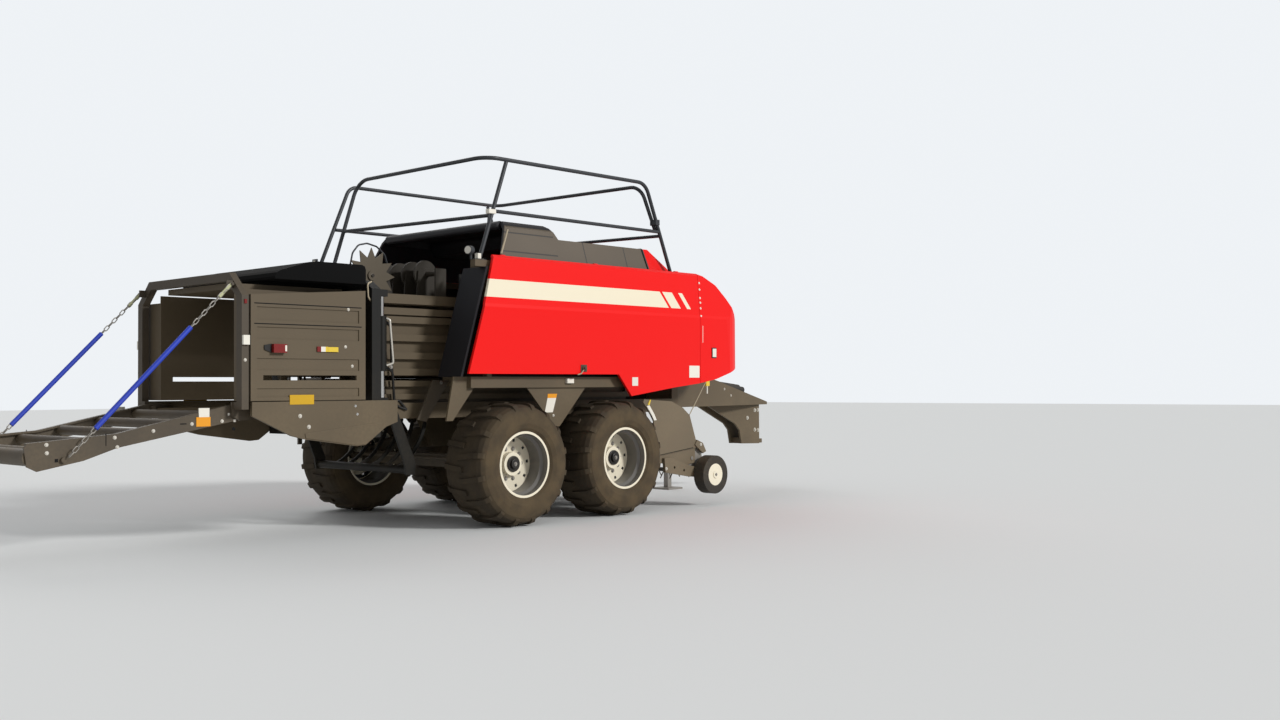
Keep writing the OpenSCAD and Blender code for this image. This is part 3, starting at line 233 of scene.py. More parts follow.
# %% [markdown]
# Dust is what makes a farm machine's paint look used: a dry, pale brown film, thick low down and on faces that look up,
# broken by noise. It is one function of a finish, so that every painted piece wears the same dust.

# %% Dust
dust_colour = (0.29, 0.215, 0.120, 1)
# The darker patches of a paint have this share of its colour
patch_shade = 0.86


def dust_mask(finish, amount):
    """How thick the dust lies; the amount scales it."""
    low_down = 1 - finish.place()[2].clamp(0.3, 2.2)
    on_top = finish.facing_up().clamp(0.3, 1.0)
    patches = finish.noise(2.3).clamp(0.35, 0.72)
    grain = finish.noise(38.0).clamp(0.3, 0.7)
    return (low_down * 0.55 + on_top * 0.5) * (patches * 0.7 + 0.25) * (grain * 0.5 + 0.6) * amount


def painted(name, colour, roughness, dust, metallic=0.0, coat=0.0, shine=0.35):
    finish = Finish(name)
    mask = dust_mask(finish, dust)
    tone = finish.noise(0.9, 2.0).clamp(0.3, 0.7)
    darker = tuple(c * patch_shade for c in colour[:3]) + (1,)
    base = finish.mix(tone, darker, colour)
    return finish.paint(Base_Color=finish.mix(mask, base, dust_colour), Roughness=mask * (0.9 - roughness) + roughness,
                        Normal=finish.bump(finish.noise(260.0), 0.02, 0.002), Metallic=metallic, Coat_Weight=coat,
                        Specular_IOR_Level=shine)


print("dust ready")

# %% [markdown]
# The red of the side shields carries a cream band that runs forward from the rear edge and ends in two slanted
# slashes. A strip of its own could tear away from the creased shell when the shield swings up, so the band is part
# of the paint: a few lines of arithmetic on the place of the surface. The band itself is plain.

# %% Red body paint with its band
band_low, band_high = 2.064, 2.226
slash_lean = 0.80
# Only what lies further out than this has the band, so not the top of a shield
band_from_y = 1.2
# Start and end of the band and of each slash, at the band's top edge; the band starts behind the shield
band_cuts = ((-3.0, 1.361), (1.400, 1.550), (1.650, 1.712))
red = (0.86, 0.004, 0.003, 1)
cream = (0.84, 0.76, 0.58, 1)


def body_red():
    finish = Finish("body_red")
    x, y, z = finish.place()
    across = x - tandem_x + (z - band_high) * slash_lean
    height = (z > band_low) * (z < band_high)
    parts = sum((across > start) * (across < end) for start, end in band_cuts)
    band = height * parts * (y * y > band_from_y * band_from_y)
    base = finish.mix(band, red, cream)
    mask = dust_mask(finish, 0.03)
    return finish.paint(Base_Color=finish.mix(mask, base, dust_colour), Roughness=mask * 0.5 + 0.34,
                        Normal=finish.bump(finish.noise(120.0), 0.015, 0.002), Specular_IOR_Level=0.22,
                        Coat_Weight=0.05, Coat_Roughness=0.15)


print("band from", band_low, "to", band_high)

# %% [markdown]
# Tyres are dark rubber under a dry brown bloom, which is thick on the sidewall. The tread gets less of it and stays
# darker: that is painted shade, as the tread lies in shade. The wheel's own centre isn't the zero of its coordinates,
# so its hub comes from the frame's numbers.

# %% Tyre rubber
tyre_r = 0.56
rubber_bare, rubber_dusty = (0.014, 0.012, 0.010, 1), (0.110, 0.078, 0.042, 1)


def tyre_rubber(name, hub):
    finish = Finish(name)
    # 0 on the sidewall and 1 on the tread
    tread = finish.reach(hub).clamp(tyre_r * 0.80, tyre_r * 0.97)
    patches = finish.noise(7.0).clamp(0.3, 0.7)
    # Less brown on the tread paints the shade it lies in; the brown itself is dust.
    mask = (0.85 - tread * 0.40) * (patches * 0.4 + 0.6)
    return finish.paint(Base_Color=finish.mix(mask, rubber_bare, rubber_dusty), Roughness=mask * 0.2 + 0.72,
                        Normal=finish.bump(finish.noise(90.0), 0.10, 0.003), Specular_IOR_Level=0.25)


print("tyre rubber ready")

# %% [markdown]
# The roof cover has pressed creases and seams along its sides. They are too shallow to change its outline, so they
# are drawn in the paint: a thin dark line with a bump, where the height or the length of the surface meets a value.
# On a crease the dark line is painted shade, on a seam it is the dark joint. Only the leaning sides are taupe; the
# top and the rear are near black.

# %% Roof paint with its creases
# Height of each crease and the stretch it runs along, then the place of each upright seam
roof_creases = ((2.700, -0.62, 0.10), (2.515, -0.62, 0.11))
roof_seams = (0.490, 1.070)
line_half = 0.006
# The side leans inward: its y falls by this much for each metre that it rises from its foot
side_lean, side_foot_y, side_foot_z = 0.314, 1.070, 2.400
# Room for the bevel, so that the side's paint reaches its edges
side_slack = 0.012
roof_black, crease_shade_and_seam_dark = (0.012, 0.012, 0.015, 1), (0.030, 0.026, 0.022, 1)
side_dark, side_light = (0.094, 0.071, 0.046, 1), (0.108, 0.083, 0.055, 1)


def near(field, value):
    return (field > value - line_half) * (field < value + line_half)


def roof_paint():
    finish = Finish("roof_taupe")
    x, y, z = finish.place()
    beside = finish.add("ShaderNodeMath", {"operation": "ABSOLUTE"}, {0: y})
    on_side = beside + (z - side_foot_z) * side_lean > side_foot_y - side_slack
    creases = sum(near(z, height) * (x > start + tandem_x) * (x < end + tandem_x)
                  for height, start, end in roof_creases)
    # On a crease the dark line is painted shade; on a seam it is the dark joint.
    lines = (creases + sum(near(x, spot + tandem_x) for spot in roof_seams)) * on_side
    mask = dust_mask(finish, 0.30)
    tone = finish.noise(1.1, 2.0).clamp(0.3, 0.7)
    panels = finish.mix(on_side, roof_black, finish.mix(tone, side_dark, side_light))
    dusty = finish.mix(mask, panels, dust_colour)
    return finish.paint(Base_Color=finish.mix(lines, dusty, crease_shade_and_seam_dark), Roughness=mask * 0.3 + 0.55,
                        Normal=finish.bump(1 - lines, 0.6, 0.006))


print("roof lines:", len(roof_creases) + len(roof_seams))

# %% [markdown]
# A rim has a bright lip and disc, while the well between them lies in shade, so the well is painted dark grey as
# shade. The paint splits them by the distance from the hub, taken from the rim's own box. Behind the disc's slots it is
# painted near black: the shade seen through them.

# %% Rim paint
lip_width, well_depth = 0.0212, 0.049
slot_inner, slot_outer = 0.204, 0.232
# The painted shade behind the slots reaches this far past them
slot_room = 0.006
rim_colour = (0.86, 0.79, 0.62, 1)
# Painted shade: the grey of the well and the near black behind the slots
well_shade_grey, slot_shade_dark = (0.150, 0.140, 0.125, 1), (0.010, 0.010, 0.010, 1)


def rim_paint(name, node):
    finish = Finish(name)
    low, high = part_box(node)
    rim_r = (high[2] - low[2]) / 2
    reach = finish.reach(middle(node))
    well = (reach > rim_r - well_depth) * (reach < rim_r - lip_width)
    behind_slots = (reach > slot_inner - slot_room) * (reach < slot_outer + slot_room)
    mask = dust_mask(finish, 0.22)
    bright = finish.mix(mask, rim_colour, dust_colour)
    shaded = finish.mix(well, bright, well_shade_grey)
    return finish.paint(Base_Color=finish.mix(behind_slots, shaded, slot_shade_dark), Roughness=mask * 0.4 + 0.36)


print("rim paint ready")

# %% [markdown]
# The finishes by name. Each of the record's material slots has one, and every solid takes the finish of its slot,
# unless the table of special nodes gives it another, such as a lighter or darker copy of the same steel. The darkest
# brown, on the knotters and the star wheel's arm, is painted shade.

# %% Finishes of the slots
taupe = painted("chassis_taupe", (0.108, 0.080, 0.046, 1), 0.55, 0.45)
tan = painted("pickup_tan", (0.150, 0.116, 0.074, 1), 0.55, 0.45)
brown_grey = painted("chassis_brown", (0.070, 0.054, 0.036, 1), 0.52, 0.40)
# Painted shade: the knotters and the star wheel's arm lie in shade, so their brown is darkened for it.
in_shade_brown = painted("shaded_brown", (0.030, 0.024, 0.016, 1), 0.60, 0.25)
star_brown = painted("star_brown", (0.105, 0.085, 0.058, 1), 0.50, 0.30, metallic=0.3)
black = painted("yoke_black", (0.012, 0.012, 0.011, 1), 0.46, 0.15, shine=0.2)
navy = painted("quarter_black", (0.014, 0.014, 0.017, 1), 0.55, 0.06, shine=0.2)
rim_cream = painted("rim_cream", rim_colour, 0.38, 0.18)
finishes = {
    "chassis_paint": taupe,
    "cover_paint": painted("cover_black", (0.007, 0.007, 0.007, 1), 0.85, 0.05, shine=0.06),
    "shield_paint": body_red(),
    "rim_paint": rim_cream,
    "gauge_rubber": painted("gauge_rubber", (0.022, 0.021, 0.020, 1), 0.8, 0.4),
    "bright_metal": painted("worn_metal", (0.34, 0.32, 0.29, 1), 0.42, 0.35, metallic=0.6),
    "guard_plastic": painted("shaft_guard", (0.022, 0.022, 0.023, 1), 0.5, 0.3),
    "lamp_lens": painted("lamp_red", (0.20, 0.010, 0.009, 1), 0.18, 0.12, coat=0.6),
}
special = {"roof_cover": roof_paint(), "rear_quarters": navy, "pickup_frame": tan}
shared = (
    (black, "tension_yoke density_cylinders needle_yoke twine_boxes feeder_duct main_gearbox flywheel"),
    (brown_grey, "rear_portal chute_frame jack_sleeve bogie_beams axle_front axle_rear knuckle_left knuckle_right "
                 "tie_rod ladder chamber_floor"),
    (in_shade_brown, "knotter_stack star_wheel_arm"),
    (star_brown, "star_wheel"),
)
for material, names in shared:
    special.update(dict.fromkeys(names.split(), material))
chrome = painted("rod_chrome", (0.72, 0.71, 0.69, 1), 0.14, 0.05, metallic=1.0)
amber = painted("amber_lens", (0.86, 0.34, 0.01, 1), 0.25, 0.08, coat=0.3)
gold = painted("gold_reflector", (0.62, 0.36, 0.01, 1), 0.35, 0.08)
yellow = painted("yellow_lens", (0.82, 0.58, 0.05, 1), 0.30, 0.08, coat=0.4)
white = painted("white_mark", (0.84, 0.80, 0.70, 1), 0.4, 0.10)
hose_black = painted("hose_black", (0.012, 0.012, 0.012, 1), 0.4, 0.2)
sleeve_blue = painted("sleeve_blue", (0.018, 0.050, 0.46, 1), 0.5, 0.10)
rail_grey = painted("rail_grey", (0.040, 0.043, 0.048, 1), 0.38, 0.15)
pale_metal = painted("zinc_bolt", (0.74, 0.70, 0.62, 1), 0.30, 0.05, metallic=0.6)
straw = painted("edge_straw", (0.42, 0.35, 0.24, 1), 0.5, 0.2)
strap_straw = painted("strap_straw", (0.50, 0.50, 0.30, 1), 0.7, 0.1)
# Near black for painted shade in holes, a slit and pressed lines, and for the chute's dark joint
shade_and_joint_dark = painted("shade_and_joint_dark", (0.004, 0.004, 0.004, 1), 0.9, 0.0)
print("finishes:", len(finishes) + len(special))

# %% [markdown]
# Every solid of the frame gets its finish, and every one but the tyres a fine bevel. A real plate's edge catches the
# light because it is never perfectly sharp, and a bevel modifier with an angle limit gives that to them without new
# shapes.

# %% Dress the solids
# Width of a solid's bevel
edge = 0.003
# A density cylinder's place, its reach about that, and the heights between which it is the painted barrel
cylinder_x, cylinder_y, cylinder_reach = -1.740, 0.745, 0.030
barrel_low, barrel_high = 1.400, 1.880


def soften(piece, width=edge):
    bevel = piece.modifiers.new("edges", "BEVEL")
    bevel.width = width
    bevel.segments = 2
    bevel.limit_method = "ANGLE"
    bevel.angle_limit = math.radians(40)


def give(piece, material):
    piece.data.materials.clear()
    piece.data.materials.append(material)


slot_of = {row["node"]: row["material_slot"] for row in frame["record"]["subparts"]}
for name, piece in frame["nodes"].items():
    slot = slot_of[name]
    if slot == "tyre_rubber":
        give(piece, tyre_rubber("rubber_" + name, middle(name)))
    elif slot == "rim_paint":
        give(piece, rim_paint("paint_" + name, name))
        soften(piece)
    else:
        give(piece, special.get(name, finishes[slot]))
        soften(piece)
for side in ("left", "right"):
    marker = frame["nodes"]["lamp_" + side]
    marker.data.materials.append(yellow)
    low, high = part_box("lamp_" + side)
    lamp_split = (low[0] + high[0]) / 2
    for face in marker.data.polygons:
        face.material_index = int(face.center.x > lamp_split)
rods = frame["nodes"]["density_cylinders"]
rods.data.materials.append(chrome)
for face in rods.data.polygons:
    beside = math.hypot(face.center.x - at(cylinder_x, 0, 0).x, abs(face.center.y) - cylinder_y)
    if beside < cylinder_reach and not barrel_low < face.center.z < barrel_high:
        face.material_index = 1
print("dressed", len(frame["nodes"]), "solids")

# %% [markdown]
# Helpers for the added pieces. A mesh could be drawn by hand in the viewport, but a few lines that build it from
# its points keep the sizes readable. Each piece is handed to the body that carries it, so it moves in every pose.

# %% Piece helpers
# Points along each bend of a tube, less one
bend_steps = 6


def add_mesh(name, verts, faces, material, body, slot_name="chassis_paint", bevel=0.0):
    mesh = bpy.data.meshes.new(name)
    mesh.from_pydata([tuple(v) for v in verts], [], faces)
    shape = bmesh.new()
    shape.from_mesh(mesh)
    bmesh.ops.recalc_face_normals(shape, faces=shape.faces)
    shape.to_mesh(mesh)
    shape.free()
    piece = bpy.data.objects.new(name, mesh)
    bpy.context.collection.objects.link(piece)
    mesh.materials.append(material)
    if bevel:
        soften(piece, bevel)
    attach(piece, body)
    return piece


def cuboid(low, high):
    (x0, y0, z0), (x1, y1, z1) = low, high
    verts = [(x, y, z) for x in (x0, x1) for y in (y0, y1) for z in (z0, z1)]
    faces = [(0, 1, 3, 2), (4, 6, 7, 5), (0, 4, 5, 1), (2, 3, 7, 6), (0, 2, 6, 4), (1, 5, 7, 3)]
    return verts, faces


def gather(parts):
    """Several (verts, faces) as one."""
    verts, faces = [], []
    for part_verts, part_faces in parts:
        start = len(verts)
        verts += part_verts
        faces += [tuple(i + start for i in face) for face in part_faces]
    return verts, faces


def boxes(name, pairs, material, body, slot_name="chassis_paint", bevel=0.002):
    add_mesh(name, *gather([cuboid(low, high) for low, high in pairs]), material, body, slot_name, bevel)


def joined(first_ring, second_ring):
    """Two rings with as many points each, both closed, as one body."""
    count = len(first_ring)
    faces = [tuple(range(count)), tuple(range(count, 2 * count))]
    faces += [(i, (i + 1) % count, count + (i + 1) % count, count + i) for i in range(count)]
    return first_ring + second_ring, faces


def prism(centre, axis, radius, length, sides):
    """A round or many-sided bar that starts at centre and runs along axis."""
    centre, axis = Vector(centre), Vector(axis).normalized()
    first = axis.orthogonal().normalized()
    second = axis.cross(first)
    turns = [i * math.tau / sides for i in range(sides)]
    ring = [centre + (first * math.cos(turn) + second * math.sin(turn)) * radius for turn in turns]
    return joined(ring, [corner + axis * length for corner in ring])


def bolt(place, axis, size):
    """A hexagon head on its washer."""
    start, way = Vector(place), Vector(axis).normalized()
    washer = prism(start, way, size * 0.95, size * 0.12, 16)
    return [washer, prism(start + way * size * 0.1, way, size * 0.62, size * 0.42, 6)]


def bolts(name, places, axis, body, size):
    parts = [part for place in places for part in bolt(place, axis, size)]
    add_mesh(name, *gather(parts), finishes["bright_metal"], body, "bright_metal")


def rounded(points, radius):
    """The points of a path with each inner corner turned on a radius."""
    out = [points[0]]
    for before, corner, after in zip(points, points[1:], points[2:]):
        a = (before - corner).normalized()
        b = (after - corner).normalized()
        half = a.angle(b) / 2
        back = min(radius / math.tan(half), (before - corner).length * 0.45, (after - corner).length * 0.45)
        r = back * math.tan(half)
        centre = corner + (a + b).normalized() * (r / math.sin(half))
        start, end = corner + a * back - centre, corner + b * back - centre
        turn = start.angle(end)
        for i in range(bend_steps + 1):
            t = i / bend_steps
            out.append(centre + (start * math.sin((1 - t) * turn) + end * math.sin(t * turn)) / math.sin(turn))
    return out + [points[-1]]


def wire(name, paths, radius, roundness, material, closed=False):
    """One piece of round wire along each path."""
    curve = bpy.data.curves.new(name, "CURVE")
    curve.dimensions = "3D"
    curve.bevel_depth = radius
    curve.bevel_resolution = roundness
    curve.use_fill_caps = not closed
    for points in paths:
        spline = curve.splines.new("POLY")
        spline.use_cyclic_u = closed
        spline.points.add(len(points) - 1)
        for point, place in zip(spline.points, points):
            point.co = (*place, 1)
    piece = bpy.data.objects.new(name, curve)
    bpy.context.collection.objects.link(piece)
    curve.materials.append(material)
    return piece


def tube(name, points, radius, material, body, bend=0, sides=4):
    path = [Vector(p) for p in points]
    piece = wire(name, [rounded(path, bend) if bend else path], radius, sides, material)
    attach(piece, body)
    return piece


print("piece helpers ready")

# %% [markdown]
# Small things must lie on the panels, never near them. So a place is given as x and z only, and a ray fired square
# at the side of the machine finds the panel's face there and the way it looks. Placing by eye would go wrong on
# every curved or slanted face. Most trims are the same on both sides, so one loop lays them left and right.

# %% Places on a panel
sides = (("left", 1), ("right", -1))
trees = {}
# A ray starts this far out, and a thin plate starts this far inside the panel
ray_start, plate_sunk = 3.0, 0.004


def panel_tree(node):
    if node not in trees:
        piece = frame["nodes"][node]
        corners = [piece.matrix_world @ v.co for v in piece.data.vertices]
        trees[node] = BVHTree.FromPolygons(corners, [tuple(f.vertices) for f in piece.data.polygons])
    return trees[node]


def on_panel(node, x, z, flip):
    """The place where a panel's outer face is met, looking square at its side, and the face's outward direction."""
    place, outward, _, _ = panel_tree(node).ray_cast(at(x, ray_start * flip, z), Vector((0, -flip, 0)))
    if place is None:
        raise ValueError(f"{node} has no face at {x}, {z}")
    return place, outward if outward.y * flip > 0 else -outward


def slab(outline, inner, outer, flip):
    """A plate cut to an outline of x and z, from y inner to y outer on one side."""
    return joined(*([at(x, y * flip, z) for x, z in outline] for y in (inner, outer)))


def oblong(x0, x1, z0, z1):
    return [(x0, z0), (x1, z0), (x1, z1), (x0, z1)]


def sticker(node, outline, flip, proud=0.002):
    """A thin plate that follows the panel under each corner of its outline."""
    spots = [on_panel(node, x, z, flip)[0] for x, z in outline]
    return joined(*([spot + Vector((0, shift * flip, 0)) for spot in spots] for shift in (-plate_sunk, proud)))


def panel_bolts(name, node, body, spots, size, material=pale_metal):
    """The same bolts on both sides; a name with {} in it stands for one node or body per side."""
    for side, flip in sides:
        parts = []
        for x, z in spots:
            place, outward = on_panel(node.format(side), x, z, flip)
            parts += bolt(place - outward * 0.001, outward, size)
        add_mesh(name + "_" + side, *gather(parts), material, body.format(side), "bright_metal")


def plates(name, node, body, outline, material, slot_name="chassis_paint", proud=0.002):
    """The same thin plate on both sides."""
    for side, flip in sides:
        verts, faces = sticker(node.format(side), outline, flip, proud)
        add_mesh(name + "_" + side, verts, faces, material, body.format(side), slot_name)


def slabs(name, outline, inner, outer, material, body, slot_name="chassis_paint", bevel=0.0):
    """The same cut plate on both sides."""
    for side, flip in sides:
        verts, faces = slab(outline, inner, outer, flip)
        add_mesh(name + "_" + side, verts, faces, material, body, slot_name, bevel)


print("panel helpers ready")

# %% [markdown]
# The handrail round the service deck is bent tube. The solids have its path with straight lengths and collars;
# here a curve with a round bevel follows the same corners, and each bend is a true smooth arc. A leaning leg starts
# a little above the deck, by the amount that its slanted end reaches below its own middle.

# %% Handrail
rail_r, slim_r = 0.019, 0.0175
rail_y = 1.100
far_leg_y = 0.880
deck_top = 2.4003
top_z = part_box("rail_near_loop")[1][2] - rail_r
far_top_z = top_z - 0.030
mid_z, low_mid_z = 2.860, 2.820
# A middle rail stops this far inside a leg, and a post or a bend's end stands this far off its mark
tuck, shy = 0.020, 0.006


def foot(foot_x, top_x, high):
    """Height of the middle of a leg's foot."""
    run = abs(foot_x - top_x)
    return deck_top + rail_r * run / math.hypot(run, high - deck_top)


def on_leg(leg, z, high=top_z):
    foot_x, top_x = leg
    return foot_x + (top_x - foot_x) * (z - deck_top) / (high - deck_top)


# Each leg leans, from the x of its foot to the x of its top
leg_front, leg_rear = (1.690, 1.290), (-1.158, -0.850)
leg_far_rear = (-1.183, -0.800)
near_post, far_post = (-0.930, -0.600), (1.370, 1.040)
near_leg_mid = on_leg(leg_front, mid_z)
# The far rail comes across and runs along the near one, side by side with it
pair_y = -rail_y + 0.0423
near_path = [at(leg_rear[0], far_leg_y, foot(*leg_rear, top_z)), at(leg_rear[1], far_leg_y, top_z),
             at(leg_rear[1], -rail_y, top_z), at(leg_front[1], -rail_y, top_z),
             at(leg_front[0], -rail_y, foot(*leg_front, top_z))]
near_rail = tube("near_handrail", near_path, rail_r, rail_grey, "chassis", bend=0.16, sides=6)
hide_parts("rail_near_loop")
far_path = [at(leg_far_rear[0], rail_y, foot(*leg_far_rear, far_top_z)), at(leg_far_rear[1], rail_y, far_top_z),
            at(1.180, rail_y, far_top_z), at(1.262, pair_y, far_top_z), at(near_leg_mid - shy, pair_y, mid_z)]
far_rail = tube("far_handrail", far_path, rail_r, rail_grey, "chassis", bend=0.13, sides=6)
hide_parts("rail_far_loop")
straight_rails = (
    ("near_post_tube", (near_post[0], -rail_y, foot(*near_post, top_z)),
     (near_post[1] - shy, -rail_y, top_z - rail_r), rail_r),
    ("near_middle_rail", (on_leg(near_post, mid_z), -rail_y, mid_z), (near_leg_mid - tuck, -rail_y, mid_z), slim_r),
    ("rear_middle_rail", (on_leg(leg_rear, low_mid_z), far_leg_y - rail_r, low_mid_z),
     (on_leg(near_post, low_mid_z), -rail_y, low_mid_z), slim_r),
    ("front_middle_rail", (on_leg(leg_front, low_mid_z), -rail_y, low_mid_z),
     (on_leg(far_post, low_mid_z, far_top_z), rail_y, low_mid_z), slim_r),
    ("far_post_tube", (far_post[0], rail_y, foot(*far_post, far_top_z)),
     (far_post[1] + shy, rail_y, far_top_z - rail_r), rail_r),
    ("far_middle_rail", (on_leg(leg_far_rear, mid_z, far_top_z) + tuck, rail_y, mid_z),
     (on_leg(far_post, mid_z, far_top_z), rail_y, mid_z), slim_r),
)
for name, start, stop, radius in straight_rails:
    piece = tube(name, [at(*start), at(*stop)], radius, rail_grey, "chassis")
    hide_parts("rail_middle")
print("handrail tubes:", 2 + len(straight_rails))

# %% [markdown]
# Every leg ends in a foot plate with two bolts, and clamps hold the rails where they cross. The clamp on the near
# post is white with a dark gusset under it. Beside that post's foot a small lamp stands on the deck.

# %% Rail fittings
fitting_z = deck_top + 0.008
feet = [(leg_rear[0], far_leg_y), (leg_front[0], -rail_y), (leg_far_rear[0], rail_y), (near_post[0], -rail_y),
        (far_post[0], rail_y)]
foot_plates = [(at(x - 0.055, y - 0.032, deck_top), at(x + 0.055, y + 0.032, fitting_z)) for x, y in feet]
boxes("rail_foot_plates", foot_plates, rail_grey, "chassis")
foot_bolts = [at(x + step, y, fitting_z) for x, y in feet for step in (-0.042, 0.042)]
bolts("rail_foot_bolts", foot_bolts, (0, 0, 1), "chassis", 0.011)
clamp_z, gusset_z, pair_z = 2.849, 2.743, 2.955
clamp_x, gusset_x = on_leg(near_post, clamp_z), on_leg(near_post, gusset_z)
clamp = (at(clamp_x - 0.060, -rail_y - 0.026, clamp_z - 0.018), at(clamp_x + 0.026, -rail_y + 0.026, clamp_z + 0.024))
boxes("rail_clamp", [clamp], white, "chassis", bevel=0.006)
gusset = [(clamp_x - 0.050, clamp_z - 0.018), (clamp_x + 0.010, clamp_z - 0.018), (gusset_x + 0.006, gusset_z),
          (gusset_x - 0.020, gusset_z)]
add_mesh("rail_gusset", *slab(gusset, rail_y - 0.008, rail_y + 0.008, -1), rail_grey, "chassis", bevel=0.002)
pair_x = on_leg(leg_front, pair_z)
pair_clamp = (at(pair_x - 0.030, -rail_y - 0.024, pair_z - 0.030), at(pair_x + 0.030, pair_y + 0.022, pair_z + 0.030))
boxes("rail_pair_clamp", [pair_clamp], rail_grey, "chassis", bevel=0.006)
socket = (at(-0.975, -rail_y - 0.036, fitting_z), at(-0.935, -rail_y + 0.010, fitting_z + 0.050))
boxes("rail_socket", [socket], white, "chassis", bevel=0.005)
lamp_z, lamp_way = 2.480, (-1, -0.25, 0)
lamp_parts = [prism(at(-1.030, -rail_y - 0.010, lamp_z), lamp_way, 0.040, 0.050, 24),
              cuboid(at(-1.038, -rail_y - 0.014, deck_top), at(-1.022, -rail_y + 0.002, lamp_z + 0.002))]
add_mesh("deck_lamp", *gather(lamp_parts), rail_grey, "chassis", bevel=0.003)
lamp_glass = prism(at(-1.080, -rail_y - 0.0225, lamp_z), lamp_way, 0.034, 0.004, 24)
add_mesh("deck_lamp_glass", *lamp_glass, pale_metal, "chassis", "bright_metal")
bracket = [(at(-1.360, 0.840, deck_top), at(-1.200, 0.920, deck_top + 0.012)),
           (at(-1.360, 0.840, deck_top), at(-1.345, 0.920, 2.520)),
           (at(-1.345, 0.872, deck_top), at(-1.260, 0.888, 2.470))]
boxes("deck_bracket", bracket, rail_grey, "chassis")
boxes("deck_bracket_mark", [(at(-1.366, 0.862, 2.470), at(-1.358, 0.898, 2.506))], white, "chassis", bevel=0.001)
print("rail feet:", len(feet))

# %% [markdown]
# The chains that hold the bale chute: round-wire links at both ends, and between them a long blue sleeve over
# the links. A link is an oval sweep of a circle, made once as a curve and repeated along the run,
# each one turned a quarter against the last. A pale strap ties each chain to the portal.

# %% Chute chains
anchor, lug = at(-3.180, 0.765, 2.080), at(-4.467, 0.765, 0.752)
link_length, link_wide, wire_r, link_steps = 0.062, 0.036, 0.0048, 12
# Shares of the way down between which the sleeve runs, and the share by which it laps each chain
sleeve_from, sleeve_to, sleeve_lap = 0.27, 0.83, 0.005
sleeve_r, strap_r, strap_length = 0.019, 0.013, 0.150
# A chain starts this far below its anchor and stops this far short of its lug
top_gap, low_gap = 0.012, 0.030


def link_points(centre, along, across):
    """The closed path of one link."""
    straight = (link_length - link_wide) / 2
    bend = link_wide / 2 - wire_r
    points = []
    for i in range(link_steps):
        turn = math.tau * i / link_steps
        offset = straight if math.cos(turn) > 0 else -straight
        points.append(centre + along * (offset + math.cos(turn) * bend) + across * (math.sin(turn) * bend))
    return points


def chain(name, start, end):
    run = end - start
    along = run.normalized()
    pitch = link_length - 3.2 * wire_r
    count = max(1, int(run.length / pitch))
    across = Vector((0, 1, 0))
    turned = along.cross(across)
    paths = [link_points(start + along * ((i + 0.5) * run.length / count), along, across if i % 2 else turned)
             for i in range(count)]
    piece = wire(name, paths, wire_r, 2, finishes["bright_metal"], closed=True)
    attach(piece, "chute_chains")
    return piece


for side, flip in sides:
    mirror = Vector((1, flip, 1))
    top_end, low_end = anchor * mirror, lug * mirror
    way = (low_end - top_end).normalized()
    sleeve = [top_end.lerp(low_end, share) for share in (sleeve_from - sleeve_lap, 0.5, sleeve_to + sleeve_lap)]
    pieces = [chain("chain_top_" + side, top_end + way * top_gap, top_end.lerp(low_end, sleeve_from)),
              chain("chain_low_" + side, top_end.lerp(low_end, sleeve_to), low_end - way * low_gap),
              tube("chain_sleeve_" + side, sleeve, sleeve_r, sleeve_blue, "chute_chains",
                   sides=5)]
    for piece in pieces:
        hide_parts("chute_chains")
    strap = [top_end + way * (strap_length * share) for share in (0, 0.5, 1)]
    tube("chain_strap_" + side, strap, strap_r, strap_straw, "chute_chains")
print("chains replaced on both sides")

# %% [markdown]
# Wheels: a face ring with ten slots lies on each disc, ten nuts stand round the hub, and the hub ends in a dark cap
# with a small bright nut. They ride on the wheel, so they turn with it. The ring is a flat grid of cells round
# the hub, some left out as slots, and a solidify modifier gives it the thickness of sheet.

# %% Wheel studs and caps
wheel_places = ("front_left", "front_right", "rear_left", "rear_right")
stud_ring, stud_count, stud_size = 0.140, 10, 0.022
# How far the disc's face and the cap lie out from the middle of the tyre
disc_out, cap_out = 0.026, 0.085
# Lift, radius and length of the cap's two steps, and the lift of the nut on them
cap_steps, nut_lift = ((-0.006, 0.072, 0.018), (0, 0.045, 0.032)), 0.031
face_t, face_lift = 0.004, 0.0005
face_rings = (0.107, slot_inner, slot_outer, 0.252)
cells_a_slot = 5


def ring_places(centre, radius, count):
    """Evenly spaced places on a ring round an axle."""
    turns = [math.tau * i / count for i in range(count)]
    return [centre + Vector((math.cos(turn) * radius, 0, math.sin(turn) * radius)) for turn in turns]


def slotted_face(centre):
    """The flat cells of the face ring; in the middle ring the first of each group is left out."""
    cells = stud_count * cells_a_slot
    verts = [spot for radius in face_rings for spot in ring_places(centre, radius, cells)]
    faces = []
    for ring in range(len(face_rings) - 1):
        for i in range(cells):
            if ring == 1 and i % cells_a_slot == 0:
                continue
            a, b = ring * cells + i, ring * cells + (i + 1) % cells
            faces.append((a, b, b + cells, a + cells))
    return verts, faces


